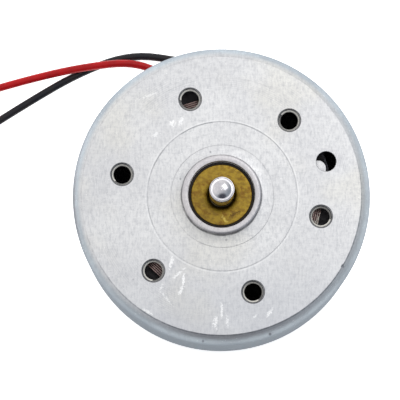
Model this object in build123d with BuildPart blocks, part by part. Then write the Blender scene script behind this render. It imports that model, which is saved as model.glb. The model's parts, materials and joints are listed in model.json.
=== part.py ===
from build123d import *

import os
from math import cos, pi, radians, sin, sqrt, tan

# Flat brushed direct-current motor, 24.4 mm across, with a 2 mm output shaft and two soldered leads.
# The origin is on the shaft's axis, at the bottom of the rear boss, and +Z runs out along the output
# shaft. Sizes are millimetres. The motor stands on its rear boss, and its leads lie on that surface.

os.makedirs("parts", exist_ok=True)

# ---------------------------------------------------------------- heights along the axis
CASE_RIM_Z = 1.6
CASE_LENGTH = 12.3
FACE_Z = CASE_RIM_Z + CASE_LENGTH
FACE_THICKNESS = 1.0
FACE_INNER_Z = FACE_Z - FACE_THICKNESS
BOSS_HEIGHT = 0.95
BOSS_RIM_FILLET = 0.12
SHAFT_REACH = 5.9
SHAFT_TIP_Z = FACE_Z + SHAFT_REACH
COVER_THICKNESS = 0.8
COVER_Z = 1.9
COVER_INNER_Z = COVER_Z + COVER_THICKNESS

# ---------------------------------------------------------------- case
CASE_R = 12.2
CASE_WALL = 0.8
CASE_INNER_R = CASE_R - CASE_WALL
CORNER_R = 1.5
FACE_EDGE_R = 11.42
GROUND_OFF = CORNER_R - sqrt(CORNER_R**2 - (FACE_EDGE_R - CASE_R + CORNER_R) ** 2)
BOSS_R = 3.27
BOSS_BORE_R = 2.73
BUSH_R = 2.5
BUSH_TOP_Z = FACE_Z + 0.35
BUSH_SEAT_TOP_Z = FACE_Z + 0.2
HOLE_CIRCLE_R = 8.3
HOLE_R = 0.87
HOLE_CHAMFER = 0.07
FIRST_HOLE_ANGLE = 48
HOLE_COUNT = 6
LOCATING_HOLE_R = 0.82
LOCATING_HOLE_ANGLE = 18
LOCATING_CIRCLE_R = 9.0
RING_CENTRE = (0.06, -0.08)
RING_GROOVE_RADII = (4.2, 6.12)
RING_GROOVE_WIDTH = 0.05
RING_GROOVE_DEPTH = 0.02
CRIMP_INNER_R = 10.6
CRIMP_COUNT = 4
CRIMP_ANGLE = 22
FIRST_CRIMP_ANGLE = 45
CRIMP_ROOT_R = CASE_INNER_R + 0.2

# ---------------------------------------------------------------- rear cover and its bearing
COVER_R = CASE_INNER_R - 0.02
REAR_BOSS_R = 3.15
REAR_BOSS_FLOOR = 0.3
REAR_BOSS_FILLET = 0.3
WINDOW_MARGIN = 0.45
WINDOW_CORNER = 0.25
THRUST_PAD_R = 2.4
THRUST_PAD_TOP_Z = 0.6
REAR_BUSH_Z = 0.9
REAR_BUSH_TOP_Z = 3.2

# ---------------------------------------------------------------- shaft and bearings
SHAFT_R = 1.0
OIL_GROOVE_R = 0.82
OIL_GROOVE_Z = BUSH_TOP_Z - 0.1
OIL_GROOVE_TOP_Z = FACE_Z + BOSS_HEIGHT + 0.01
BEARING_CLEARANCE = 0.02
SHAFT_END_Z = THRUST_PAD_TOP_Z + 0.02
SHAFT_DOME = 0.6
SHAFT_END_FILLET = 0.3
DOME_SHOULDER = 0.55 * SHAFT_R
DOME_SHOULDER_DROP = 0.12
DOME_MIDDLE = 0.87 * SHAFT_R
DOME_MIDDLE_DROP = 0.3
BUSH_BORE_CHAMFER = 0.17
BUSH_EDGE_CHAMFER = 0.08
FRONT_BUSH_Z = 12.25

# ---------------------------------------------------------------- rotor
ROTOR_R = 9.2
POLE_COUNT = 3
FIRST_POLE_ANGLE = 108
FIRST_SLOT_ANGLE = FIRST_POLE_ANGLE + 180 / POLE_COUNT
POLE_HEAD_R = 8.45
POLE_NECK = 2.4
POLE_HUB_R = 2.5
SLOT_OPENING = 2.4
LAMINATION_COUNT = 9
LAMINATION = 0.36
LAMINATION_PITCH = 0.4
STACK_Z = 7.7
STACK_TOP_Z = STACK_Z + (LAMINATION_COUNT - 1) * LAMINATION_PITCH + LAMINATION
INSULATOR = 0.25
INSULATOR_GAP = 0.02
INSULATOR_HUB_MARGIN = 0.4
INSULATOR_HEAD_R = 9.0
INSULATOR_HEAD_INSET = 0.05
INSULATOR_SIDE = 0.1
SLOT_DEPTH = 3.0
NECK_ROOT = 0.3
COIL_START_R = 3.3
COIL_EDGE_R = 8.2
COIL_ROUND_R = 8.36
COIL_HALF_WIDTH = 2.65
COIL_CORNER = 0.6
COIL_WINDOW_HALF = 1.32
COIL_WINDOW_HEIGHT = STACK_TOP_Z - STACK_Z + 2 * (INSULATOR + INSULATOR_GAP) + 0.02
COIL_Z = 6.75
COIL_TOP_Z = 12.2

# ---------------------------------------------------------------- commutator
HUB_R = 1.55
HUB_Z = 3.6
HUB_TOP_Z = 7.3
BAR_R = 1.75
BAR_Z = 3.7
RISER_Z = 6.2
RISER = 0.2
RISER_R = 3.4
RISER_WIDTH = 1.3
RISER_START_R = HUB_R + 0.1
BAR_GAP = 0.3
BAR_GAP_R = 2.0
RING_Z = 5.0
RING_R = 2.05
RING_HEIGHT = 0.4
VARISTOR_Z = 5.42
VARISTOR_INNER_R = 2.2
VARISTOR_R = 4.2
VARISTOR_SOLDER_WIDTH = 1.0
VARISTOR_SOLDER_HEIGHT = 0.3
VARISTOR_SOLDER_FILLET = 0.2

# ---------------------------------------------------------------- magnets
MAGNET_INNER_R = 9.45
MAGNET_R = CASE_INNER_R - 0.02
MAGNET_Z = 6.4
MAGNET_TOP_Z = 12.4
MAGNET_HALF_ANGLE = 68
MAGNET_ANGLES = {"magnet_north": 108, "magnet_south": 288}
MAGNET_CHAMFER = 0.25
SPRING_ANGLE = 198
SPRING_HALF_ANGLE = 21
SPRING_THICKNESS = 0.35
SPRING_Z = 7.4
SPRING_WIDTH = 4.0
SPRING_LEG = 1.4
SPRING_LEG_R = 10.4
SPRING_LEG_INSET = 1.2
LEAF_Z = 12.56
LEAF_THICKNESS = 0.3
LEAF_NOSE_R = 0.62
LEAF_OUTLINE = [
    (8.56, 2.35), (8.56, 1.6), (11.0, 1.6), (11.0, -0.2), (7.55, -0.2), (7.55, 2.95), (7.96, 2.95),
]
STOP_LEG_Z = 9.0
STOP_LEG_CENTRE = (10.6, 0.7)
STOP_LEG_SIZE = (0.4, 1.8)

# ---------------------------------------------------------------- brush gear
HOLDER_R = 11.3
HOLDER_PLATE = 0.8
HOLDER_TOP_Z = 4.9
HOLDER_RIM = 0.8
HOLDER_OPENING_R = 3.4
HOLDER_BLOCK = (2.4, 1.6)
SLEEVE_CLEARANCE = 0.03
SLEEVE_CORNER = 0.22
SLEEVE_BELOW = 0.15
CHANNEL = (0.5, 1.2)
CHANNEL_BELOW = 0.1
TERMINAL_X = 2.5
TERMINAL_Y = 8.6
TERMINAL_WIDTH = 1.6
TERMINAL_THICKNESS = 0.3
TERMINAL_Z = 0.75
TERMINAL_TOP_Z = 4.7
TERMINAL_CHAMFER = 0.25
ARM_THICKNESS = 0.12
ARM_X = 2.34
ARM_Z = 3.75
ARM_WIDTH = 1.0
ARM_END_Y = -1.7
BRUSH_CLEARANCE = 0.03
BRUSH_DEPTH = 0.9
BRUSH_LENGTH = 1.5
BRUSH_INSET = 0.05
DAMPER_Y = 3.4
DAMPER = (0.6, 1.6)
DAMPER_FILLET = 0.15
SOLDER = (1.9, 1.14)
SOLDER_Z = 0.42
SOLDER_HEIGHT = 0.95
SOLDER_OFFSET = 0.12
SOLDER_FILLET = 0.3

# ---------------------------------------------------------------- leads
LEAD_D = 0.66
LEAD_R = LEAD_D / 2
LIMP_MINIMUM_RADIUS = 3 * LEAD_D
LEAD_REST_Z = 0.34
TURN_PITCH = 0.68
COIL_CENTRE = (-24.4, 0.15)
TIE_GAP = 0.12
RING_MIDDLE_R = 3.6
RING_OUTER_TURN_R = RING_MIDDLE_R + TURN_PITCH / 2
BLACK_LOW_Z = TIE_GAP + TURN_PITCH / 2
BLACK_TOP_Z = TIE_GAP + 2 * TURN_PITCH
RED_LOW_Z = BLACK_TOP_Z + TURN_PITCH / 2
BLACK_EXIT_ANGLE = 225
RED_EXIT_ANGLE = 205
TIP_R = 0.18
TIP_LENGTH = 3.0
TIP_FILLET = 0.08
RUN_SHARE = 0.45
COIL_SECTION_CORNER = 0.3


def export(part, name):
    """Labels a finished piece and writes its STEP file."""
    part.label = name
    export_step(part, f"parts/{name}.step")


def polar(radius, angle):
    """The point at a radius and an angle in degrees about the shaft's axis."""
    return radius * cos(radians(angle)), radius * sin(radians(angle))


# ================================================================ case
# A deep-drawn steel cup, open at the rear, with a drawn boss for the front bush. The face is ground
# flat after drawing, which takes the top off the rounded corner and leaves an edge there.
with BuildPart() as case:
    with BuildSketch(Plane.XY.offset(CASE_RIM_Z)):
        Circle(CASE_R)
    extrude(amount=CASE_LENGTH + GROUND_OFF)
    fillet(case.faces().sort_by(Axis.Z)[-1].edges(), CORNER_R)
    split(bisect_by=Plane.XY.offset(FACE_Z), keep=Keep.BOTTOM)
    with BuildSketch(Plane.XY.offset(CASE_RIM_Z)):
        Circle(CASE_INNER_R)
    extrude(amount=CASE_LENGTH - FACE_THICKNESS, mode=Mode.SUBTRACT)
    with BuildSketch(Plane.XY.offset(FACE_Z)):
        Circle(BOSS_R)
    extrude(amount=BOSS_HEIGHT)
    boss_rim = case.faces().sort_by(Axis.Z)[-1]
    fillet(boss_rim.edges(), BOSS_RIM_FILLET)
    with BuildSketch(Plane.XY.offset(FACE_INNER_Z)):
        Circle(BUSH_R)
    extrude(amount=FACE_THICKNESS + BOSS_HEIGHT, mode=Mode.SUBTRACT)
    with BuildSketch(Plane.XY.offset(BUSH_SEAT_TOP_Z)):
        Circle(BOSS_BORE_R)
    extrude(amount=BOSS_HEIGHT, mode=Mode.SUBTRACT)
    # six tapped holes, each with a small countersink at the face
    with BuildSketch(Plane.XY.offset(FACE_INNER_Z)):
        with PolarLocations(HOLE_CIRCLE_R, HOLE_COUNT, start_angle=FIRST_HOLE_ANGLE):
            Circle(HOLE_R)
    extrude(amount=FACE_THICKNESS, mode=Mode.SUBTRACT)
    face_plane = case.faces().filter_by(Plane.XY).filter_by_position(Axis.Z, FACE_Z - 0.01, FACE_Z + 0.01)
    chamfer(face_plane.edges().filter_by(GeomType.CIRCLE).filter_by(
        lambda edge: abs(edge.radius - HOLE_R) < 0.001), HOLE_CHAMFER)
    # one plain locating hole, a little further out
    with BuildSketch(Plane.XY.offset(FACE_INNER_Z)):
        with Locations(polar(LOCATING_CIRCLE_R, LOCATING_HOLE_ANGLE)):
            Circle(LOCATING_HOLE_R)
    extrude(amount=FACE_THICKNESS, mode=Mode.SUBTRACT)
    # shallow rings that the drawing punch leaves on the face
    for ring_radius in RING_GROOVE_RADII:
        with BuildSketch(Plane.XY.offset(FACE_Z - RING_GROOVE_DEPTH)):
            with Locations(RING_CENTRE):
                Circle(ring_radius + RING_GROOVE_WIDTH / 2)
                Circle(ring_radius - RING_GROOVE_WIDTH / 2, mode=Mode.SUBTRACT)
        extrude(amount=RING_GROOVE_DEPTH, mode=Mode.SUBTRACT)
    # four crimped lugs that hold the rear cover in
    with BuildSketch(Plane.XY.offset(CASE_RIM_Z)):
        for lug in range(CRIMP_COUNT):
            middle = FIRST_CRIMP_ANGLE + lug * 360 / CRIMP_COUNT
            corner_a = polar(CRIMP_INNER_R, middle - CRIMP_ANGLE / 2)
            corner_b = polar(CRIMP_ROOT_R, middle - CRIMP_ANGLE / 2)
            corner_c = polar(CRIMP_ROOT_R, middle + CRIMP_ANGLE / 2)
            corner_d = polar(CRIMP_INNER_R, middle + CRIMP_ANGLE / 2)
            with BuildLine():
                Line(corner_a, corner_b)
                ThreePointArc(corner_b, polar(CRIMP_ROOT_R, middle), corner_c)
                Line(corner_c, corner_d)
                ThreePointArc(corner_d, polar(CRIMP_INNER_R, middle), corner_a)
            make_face()
    extrude(amount=COVER_Z - CASE_RIM_Z)
export(case.part, "case")

# ================================================================ front bush
# Sintered bronze, pressed into the bore of the boss.
with BuildPart() as front_bush:
    with BuildSketch(Plane.XY.offset(FRONT_BUSH_Z)):
        Circle(BUSH_R)
        Circle(SHAFT_R + BEARING_CLEARANCE, mode=Mode.SUBTRACT)
    extrude(amount=BUSH_TOP_Z - FRONT_BUSH_Z)
    top_edges = front_bush.faces().sort_by(Axis.Z)[-1].edges().sort_by(SortBy.RADIUS)
    chamfer(top_edges[0], BUSH_BORE_CHAMFER)
    chamfer(front_bush.edges().filter_by(GeomType.CIRCLE).sort_by(Axis.Z)[-1:], BUSH_EDGE_CHAMFER)
export(front_bush.part, "front_bush")

# ================================================================ rear cover
# A steel disc with a drawn, closed boss, and two windows that the terminals pass through.
WINDOW_LENGTH = TERMINAL_WIDTH + 2 * WINDOW_MARGIN
WINDOW_WIDTH = TERMINAL_THICKNESS + 2 * WINDOW_MARGIN
with BuildPart() as rear_cover:
    with BuildSketch(Plane.XY.offset(COVER_Z)):
        Circle(COVER_R)
        with Locations((-TERMINAL_X, TERMINAL_Y), (TERMINAL_X, TERMINAL_Y)):
            RectangleRounded(WINDOW_LENGTH, WINDOW_WIDTH, WINDOW_CORNER, mode=Mode.SUBTRACT)
    extrude(amount=COVER_THICKNESS)
    with BuildSketch():
        Circle(REAR_BOSS_R)
    extrude(amount=COVER_Z)
    fillet(rear_cover.faces().sort_by(Axis.Z)[0].edges(), REAR_BOSS_FILLET)
    with BuildSketch(Plane.XY.offset(REAR_BOSS_FLOOR)):
        Circle(BUSH_R)
    extrude(amount=COVER_INNER_Z - REAR_BOSS_FLOOR, mode=Mode.SUBTRACT)
export(rear_cover.part, "rear_cover")

with BuildPart() as thrust_pad:
    with BuildSketch(Plane.XY.offset(REAR_BOSS_FLOOR)):
        Circle(THRUST_PAD_R)
    extrude(amount=THRUST_PAD_TOP_Z - REAR_BOSS_FLOOR)
export(thrust_pad.part, "thrust_pad")

with BuildPart() as rear_bush:
    with BuildSketch(Plane.XY.offset(REAR_BUSH_Z)):
        Circle(BUSH_R)
        Circle(SHAFT_R + BEARING_CLEARANCE, mode=Mode.SUBTRACT)
    extrude(amount=REAR_BUSH_TOP_Z - REAR_BUSH_Z)
    chamfer(rear_bush.faces().sort_by(Axis.Z)[-1].edges(), BUSH_EDGE_CHAMFER)
export(rear_bush.part, "rear_bush")

# ================================================================ magnets and their clips
for magnet_name, middle in MAGNET_ANGLES.items():
    start = middle - MAGNET_HALF_ANGLE
    end = middle + MAGNET_HALF_ANGLE
    with BuildPart() as magnet:
        with BuildSketch(Plane.XY.offset(MAGNET_Z)):
            with BuildLine():
                Line(polar(MAGNET_INNER_R, start), polar(MAGNET_R, start))
                ThreePointArc(polar(MAGNET_R, start), polar(MAGNET_R, middle), polar(MAGNET_R, end))
                Line(polar(MAGNET_R, end), polar(MAGNET_INNER_R, end))
                ThreePointArc(polar(MAGNET_INNER_R, end), polar(MAGNET_INNER_R, middle),
                              polar(MAGNET_INNER_R, start))
            make_face()
        extrude(amount=MAGNET_TOP_Z - MAGNET_Z)
        chamfer(magnet.edges().filter_by(Axis.Z), MAGNET_CHAMFER)
    export(magnet.part, magnet_name)

# A U-shaped strip of spring steel in the gap at one side pushes the two magnets apart.
with BuildPart() as magnet_spring:
    outer = MAGNET_R
    inner = MAGNET_R - SPRING_THICKNESS
    first = SPRING_ANGLE - SPRING_HALF_ANGLE
    last = SPRING_ANGLE + SPRING_HALF_ANGLE
    with BuildSketch(Plane.XY.offset(SPRING_Z)):
        with BuildLine():
            Line(polar(inner, first), polar(outer, first))
            ThreePointArc(polar(outer, first), polar(outer, SPRING_ANGLE), polar(outer, last))
            Line(polar(outer, last), polar(inner, last))
            ThreePointArc(polar(inner, last), polar(inner, SPRING_ANGLE), polar(inner, first))
        make_face()
        for leg_angle in (first + SPRING_LEG_INSET, last - SPRING_LEG_INSET):
            with Locations(Location((*polar(SPRING_LEG_R, leg_angle), 0), (0, 0, leg_angle))):
                Rectangle(SPRING_LEG, SPRING_THICKNESS)
    extrude(amount=SPRING_WIDTH)
export(magnet_spring.part, "magnet_spring")

# The stop at the other gap: a leg between the magnets, and a leaf with a rounded nose under the face.
with BuildPart() as magnet_stop:
    with BuildSketch(Plane.XY.offset(LEAF_Z)):
        with BuildLine():
            Polyline(*LEAF_OUTLINE)
            RadiusArc(LEAF_OUTLINE[-1], LEAF_OUTLINE[0], LEAF_NOSE_R)
        make_face()
    extrude(amount=LEAF_THICKNESS)
    with BuildSketch(Plane.XY.offset(STOP_LEG_Z)):
        with Locations(STOP_LEG_CENTRE):
            Rectangle(*STOP_LEG_SIZE)
    extrude(amount=LEAF_Z - STOP_LEG_Z)
export(magnet_stop.part, "magnet_stop")

# ================================================================ brush holder, terminals and brushes
TERMINAL_SIDES = {"positive": -1, "negative": 1}
with BuildPart() as brush_holder:
    with BuildSketch(Plane.XY.offset(COVER_INNER_Z)):
        Circle(HOLDER_R)
        Circle(HOLDER_OPENING_R, mode=Mode.SUBTRACT)
    extrude(amount=HOLDER_PLATE)
    with BuildSketch(Plane.XY.offset(COVER_INNER_Z)):
        Circle(HOLDER_R)
        Circle(HOLDER_R - HOLDER_RIM, mode=Mode.SUBTRACT)
    extrude(amount=HOLDER_TOP_Z - COVER_INNER_Z)
    for side in TERMINAL_SIDES.values():
        block = side * TERMINAL_X
        with BuildSketch(Plane.XY.offset(COVER_INNER_Z)):
            with Locations((block, TERMINAL_Y)):
                Rectangle(*HOLDER_BLOCK)
        extrude(amount=HOLDER_TOP_Z - COVER_INNER_Z)
        # the sleeve that insulates the terminal where it passes the steel cover
        with BuildSketch(Plane.XY.offset(COVER_Z - SLEEVE_BELOW)):
            with Locations((block, TERMINAL_Y)):
                RectangleRounded(WINDOW_LENGTH - 2 * SLEEVE_CLEARANCE, WINDOW_WIDTH - 2 * SLEEVE_CLEARANCE,
                                 SLEEVE_CORNER)
        extrude(amount=COVER_THICKNESS + SLEEVE_BELOW)
        with BuildSketch(Plane.XY.offset(CASE_RIM_Z)):
            with Locations((block, TERMINAL_Y)):
                Rectangle(TERMINAL_WIDTH, TERMINAL_THICKNESS)
        extrude(amount=HOLDER_TOP_Z, mode=Mode.SUBTRACT)
        # the channel that the brush arm leaves by
        with BuildSketch(Plane.XY.offset(ARM_Z - CHANNEL_BELOW)):
            with Locations((side * (ARM_X + ARM_THICKNESS / 2), TERMINAL_Y - CHANNEL[1] / 2)):
                Rectangle(*CHANNEL)
        extrude(amount=HOLDER_TOP_Z, mode=Mode.SUBTRACT)
export(brush_holder.part, "brush_holder")

for pole, side in TERMINAL_SIDES.items():
    terminal_x = side * TERMINAL_X
    arm_middle = side * (ARM_X + ARM_THICKNESS / 2)
    arm_start_y = TERMINAL_Y - TERMINAL_THICKNESS / 2
    with BuildPart() as terminal:
        with BuildSketch(Plane.XY.offset(TERMINAL_Z)):
            with Locations((terminal_x, TERMINAL_Y)):
                Rectangle(TERMINAL_WIDTH, TERMINAL_THICKNESS)
        extrude(amount=TERMINAL_TOP_Z - TERMINAL_Z)
        chamfer(terminal.edges().filter_by(Axis.Y).group_by(Axis.Z)[0], TERMINAL_CHAMFER)
    export(terminal.part, f"terminal_{pole}")

    with BuildPart() as brush_arm:
        with BuildSketch(Plane.XY.offset(ARM_Z)):
            with Locations((arm_middle, (arm_start_y + ARM_END_Y) / 2)):
                Rectangle(ARM_THICKNESS, arm_start_y - ARM_END_Y)
        extrude(amount=ARM_WIDTH)
    export(brush_arm.part, f"brush_arm_{pole}")

    # a small carbon block, its inner face hollowed to the commutator
    with BuildPart() as brush:
        with BuildSketch(Plane.XY.offset(ARM_Z + BRUSH_INSET)):
            with Locations((side * (ARM_X - BRUSH_DEPTH / 2), 0)):
                Rectangle(BRUSH_DEPTH, BRUSH_LENGTH)
            Circle(BAR_R + BRUSH_CLEARANCE, mode=Mode.SUBTRACT)
        extrude(amount=ARM_WIDTH - 2 * BRUSH_INSET)
    export(brush.part, f"brush_{pole}")

    # a rubber pad on the arm's outer side stops it from ringing
    with BuildPart() as damper:
        with BuildSketch(Plane.XY.offset(ARM_Z)):
            with Locations((side * (ARM_X + ARM_THICKNESS + DAMPER[0] / 2), DAMPER_Y)):
                Rectangle(*DAMPER)
        extrude(amount=ARM_WIDTH)
        fillet(damper.edges().filter_by(Axis.Z), DAMPER_FILLET)
    export(damper.part, f"brush_damper_{pole}")

    with BuildPart() as solder:
        with BuildSketch(Plane.XY.offset(SOLDER_Z)):
            with Locations((terminal_x, TERMINAL_Y + SOLDER_OFFSET)):
                Rectangle(*SOLDER)
        extrude(amount=SOLDER_HEIGHT)
        fillet(solder.edges(), SOLDER_FILLET)
        with BuildSketch(Plane.XY.offset(TERMINAL_Z)):
            with Locations((terminal_x, TERMINAL_Y)):
                Rectangle(TERMINAL_WIDTH, TERMINAL_THICKNESS)
        extrude(amount=SOLDER_HEIGHT, mode=Mode.SUBTRACT)
    export(solder.part, f"solder_{pole}")

# ================================================================ rotor
# Ground steel, with a groove above the front bush that stops oil creeping along the shaft.
with BuildPart() as shaft:
    with BuildSketch(Plane.XY.offset(SHAFT_END_Z)):
        Circle(SHAFT_R)
    extrude(amount=SHAFT_TIP_Z - SHAFT_DOME - SHAFT_END_Z)
    with BuildSketch(Plane.XY.offset(OIL_GROOVE_Z)):
        Circle(SHAFT_R)
        Circle(OIL_GROOVE_R, mode=Mode.SUBTRACT)
    extrude(amount=OIL_GROOVE_TOP_Z - OIL_GROOVE_Z, mode=Mode.SUBTRACT)
    with BuildSketch(Plane.XZ):
        with BuildLine():
            dome_base = (SHAFT_R, SHAFT_TIP_Z - SHAFT_DOME)
            dome_shoulder = (DOME_SHOULDER, SHAFT_TIP_Z - DOME_SHOULDER_DROP)
            ThreePointArc(dome_base, (DOME_MIDDLE, SHAFT_TIP_Z - DOME_MIDDLE_DROP), dome_shoulder)
            Line(dome_shoulder, (0, SHAFT_TIP_Z))
            Line((0, SHAFT_TIP_Z), (0, SHAFT_TIP_Z - SHAFT_DOME))
            Line((0, SHAFT_TIP_Z - SHAFT_DOME), dome_base)
        make_face()
    revolve(axis=Axis.Z)
    fillet(shaft.edges().sort_by(Axis.Z)[0], SHAFT_END_FILLET)
export(shaft.part, "shaft")


def pole_star(hub_radius, neck_width, head_inner, head_outer, bore):
    """Draws the three-pole star into the sketch being built."""
    Circle(head_outer)
    Circle(head_inner, mode=Mode.SUBTRACT)
    for index in range(POLE_COUNT):
        slot_angle = FIRST_SLOT_ANGLE + index * 360 / POLE_COUNT
        with Locations(Location((*polar((head_inner + head_outer) / 2, slot_angle), 0), (0, 0, slot_angle))):
            Rectangle(SLOT_DEPTH, SLOT_OPENING, mode=Mode.SUBTRACT)
    Circle(hub_radius)
    for index in range(POLE_COUNT):
        pole_angle = FIRST_POLE_ANGLE + index * 360 / POLE_COUNT
        neck_length = head_inner + NECK_ROOT
        with Locations(Location((*polar(neck_length / 2, pole_angle), 0), (0, 0, pole_angle))):
            Rectangle(neck_length, neck_width)
    Circle(bore, mode=Mode.SUBTRACT)


# Nine stamped iron sheets, kept as separate solids in one node.
with BuildPart() as laminations:
    for sheet in range(LAMINATION_COUNT):
        with BuildSketch(Plane.XY.offset(STACK_Z + sheet * LAMINATION_PITCH)):
            pole_star(POLE_HUB_R, POLE_NECK, POLE_HEAD_R, ROTOR_R, SHAFT_R)
        extrude(amount=LAMINATION)
export(laminations.part, "laminations")

for insulator_name, insulator_z in (
    ("insulator_front", STACK_TOP_Z + INSULATOR_GAP),
    ("insulator_rear", STACK_Z - INSULATOR_GAP - INSULATOR),
):
    with BuildPart() as insulator:
        with BuildSketch(Plane.XY.offset(insulator_z)):
            pole_star(POLE_HUB_R + INSULATOR_HUB_MARGIN, POLE_NECK + 2 * INSULATOR_SIDE,
                      POLE_HEAD_R + INSULATOR_HEAD_INSET, INSULATOR_HEAD_R, SHAFT_R)
        extrude(amount=INSULATOR)
    export(insulator.part, insulator_name)

# One winding round each pole's neck: a rounded frame, cut straight at its outer end.
for index, letter in enumerate("abc"):
    pole_angle = FIRST_POLE_ANGLE + index * 360 / POLE_COUNT
    section = Plane(origin=(*polar(COIL_START_R, pole_angle), 0),
                    x_dir=(*polar(1, pole_angle + 90), 0),
                    z_dir=(*polar(1, pole_angle), 0))
    middle_z = (COIL_Z + COIL_TOP_Z) / 2
    with BuildPart() as winding:
        with BuildSketch(section):
            with Locations((0, middle_z)):
                RectangleRounded(2 * COIL_HALF_WIDTH, COIL_TOP_Z - COIL_Z, COIL_CORNER)
                Rectangle(2 * COIL_WINDOW_HALF, COIL_WINDOW_HEIGHT, mode=Mode.SUBTRACT)
        extrude(amount=COIL_EDGE_R - COIL_START_R)
        with BuildSketch(Plane.XY.offset(COIL_Z)):
            Circle(COIL_ROUND_R)
        extrude(amount=COIL_TOP_Z - COIL_Z, mode=Mode.INTERSECT)
    export(winding.part, f"coil_{letter}")

# ---------------------------------------------------------------- commutator
with BuildPart() as commutator_hub:
    with BuildSketch(Plane.XY.offset(HUB_Z)):
        Circle(HUB_R)
        Circle(SHAFT_R, mode=Mode.SUBTRACT)
    extrude(amount=HUB_TOP_Z - HUB_Z)
export(commutator_hub.part, "commutator_hub")

with BuildPart() as commutator_bars:
    with BuildSketch(Plane.XY.offset(BAR_Z)):
        Circle(BAR_R)
        Circle(HUB_R, mode=Mode.SUBTRACT)
    extrude(amount=RISER_Z + RISER - BAR_Z)
    with BuildSketch(Plane.XY.offset(RISER_Z)):
        for index in range(POLE_COUNT):
            riser_angle = FIRST_POLE_ANGLE + index * 360 / POLE_COUNT
            riser_middle = (RISER_START_R + RISER_R) / 2
            with Locations(Location((*polar(riser_middle, riser_angle), 0), (0, 0, riser_angle))):
                Rectangle(RISER_R - RISER_START_R, RISER_WIDTH)
    extrude(amount=RISER)
    with BuildSketch(Plane.XY.offset(BAR_Z)):
        for index in range(POLE_COUNT):
            gap_angle = FIRST_SLOT_ANGLE + index * 360 / POLE_COUNT
            with Locations(Location((*polar(BAR_GAP_R, gap_angle), 0), (0, 0, gap_angle))):
                Rectangle(BAR_GAP_R, BAR_GAP)
    extrude(amount=HUB_TOP_Z - BAR_Z, mode=Mode.SUBTRACT)
export(commutator_bars.part, "commutator_bars")

with BuildPart() as commutator_ring:
    with BuildSketch(Plane.XY.offset(RING_Z)):
        Circle(RING_R)
        Circle(BAR_R, mode=Mode.SUBTRACT)
    extrude(amount=RING_HEIGHT)
export(commutator_ring.part, "commutator_ring")

with BuildPart() as varistor:
    with BuildSketch(Plane.XY.offset(VARISTOR_Z)):
        Circle(VARISTOR_R)
        Circle(VARISTOR_INNER_R, mode=Mode.SUBTRACT)
    extrude(amount=RISER_Z - VARISTOR_Z)
export(varistor.part, "varistor")

with BuildPart() as varistor_solder:
    with BuildSketch(Plane.XY.offset(RISER_Z)):
        with PolarLocations((RISER_R + VARISTOR_R) / 2, POLE_COUNT, start_angle=FIRST_POLE_ANGLE):
            Rectangle(VARISTOR_R - RISER_R, VARISTOR_SOLDER_WIDTH)
    extrude(amount=VARISTOR_SOLDER_HEIGHT)
    fillet(varistor_solder.edges().filter_by(Axis.Z), VARISTOR_SOLDER_FILLET)
export(varistor_solder.part, "varistor_solder")

# ---------------------------------------------------------------- collars and washers on the shaft
WASHERS = {
    "rotor_collar": (1.8, STACK_TOP_Z + INSULATOR_GAP + INSULATOR, 11.92),
    "nylon_washer": (1.9, 11.93, 12.08),
    "steel_washer": (2.1, 12.09, 12.23),
    "rear_washer": (1.7, REAR_BUSH_TOP_Z + 0.02, HUB_Z - 0.02),
}
for washer_name, (washer_radius, washer_z, washer_top_z) in WASHERS.items():
    with BuildPart() as washer:
        with BuildSketch(Plane.XY.offset(washer_z)):
            Circle(washer_radius)
            Circle(SHAFT_R, mode=Mode.SUBTRACT)
        extrude(amount=washer_top_z - washer_z)
    export(washer.part, washer_name)

# ================================================================ leads
# Each lead: a tube from its solder joint to the coil, the coil's outer shape, the short end that
# leaves the coil, and the tinned tip. The red coil lies on the black one, and a tie holds the two.
BLACK_ROUTE = [
    (2.5, 9.05, 0.85),
    (1.7, 10.6, 0.66),
    (-0.1, 12.1, 0.42),
    (-3.4, 12.78, 0.34),
    (-7.7, 13.3, 0.34),
    (-12.2, 11.85, 0.34),
    (-17.0, 9.0, 0.34),
    (-21.2, 6.3, 0.36),
    (-24.8, 4.42, 0.46),
]
RED_ROUTE = [
    (-2.5, 9.05, 0.85),
    (-3.1, 10.35, 0.66),
    (-4.7, 11.65, 0.52),
    (-7.6, 12.75, 1.12),
    (-12.0, 12.2, 1.12),
    (-15.6, 11.5, 0.38),
    (-19.6, 10.4, 0.34),
    (-24.0, 9.0, 0.36),
    (-27.3, 6.2, 1.0),
    (-28.5, 3.2, 1.84),
    (-28.5, 1.2, 1.84),
]


def tangent_exit(angle, z, steps):
    """Points of a lead's short end, which leaves its coil along a tangent and drops to the surface."""
    start_x = COIL_CENTRE[0] + RING_OUTER_TURN_R * cos(radians(angle))
    start_y = COIL_CENTRE[1] + RING_OUTER_TURN_R * sin(radians(angle))
    heading_x = -sin(radians(angle))
    heading_y = cos(radians(angle))
    points = []
    for along, aside, height in steps:
        x = start_x + along * heading_x + aside * heading_y
        y = start_y + along * heading_y - aside * heading_x
        points.append((x, y, z + (LEAD_REST_Z - z) * height))
    return points


def lead_radii(route):
    """The largest arc that each corner's two runs allow: 0.45 of the shorter run over tan(half turn)."""
    points = [Vector(*point) for point in route]
    radii = []
    for before, corner, after in zip(points, points[1:], points[2:]):
        turn = (corner - before).get_angle(after - corner)
        shorter = min((corner - before).length, (after - corner).length)
        radii.append(RUN_SHARE * shorter / tan(radians(turn) / 2))
    return radii


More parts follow.
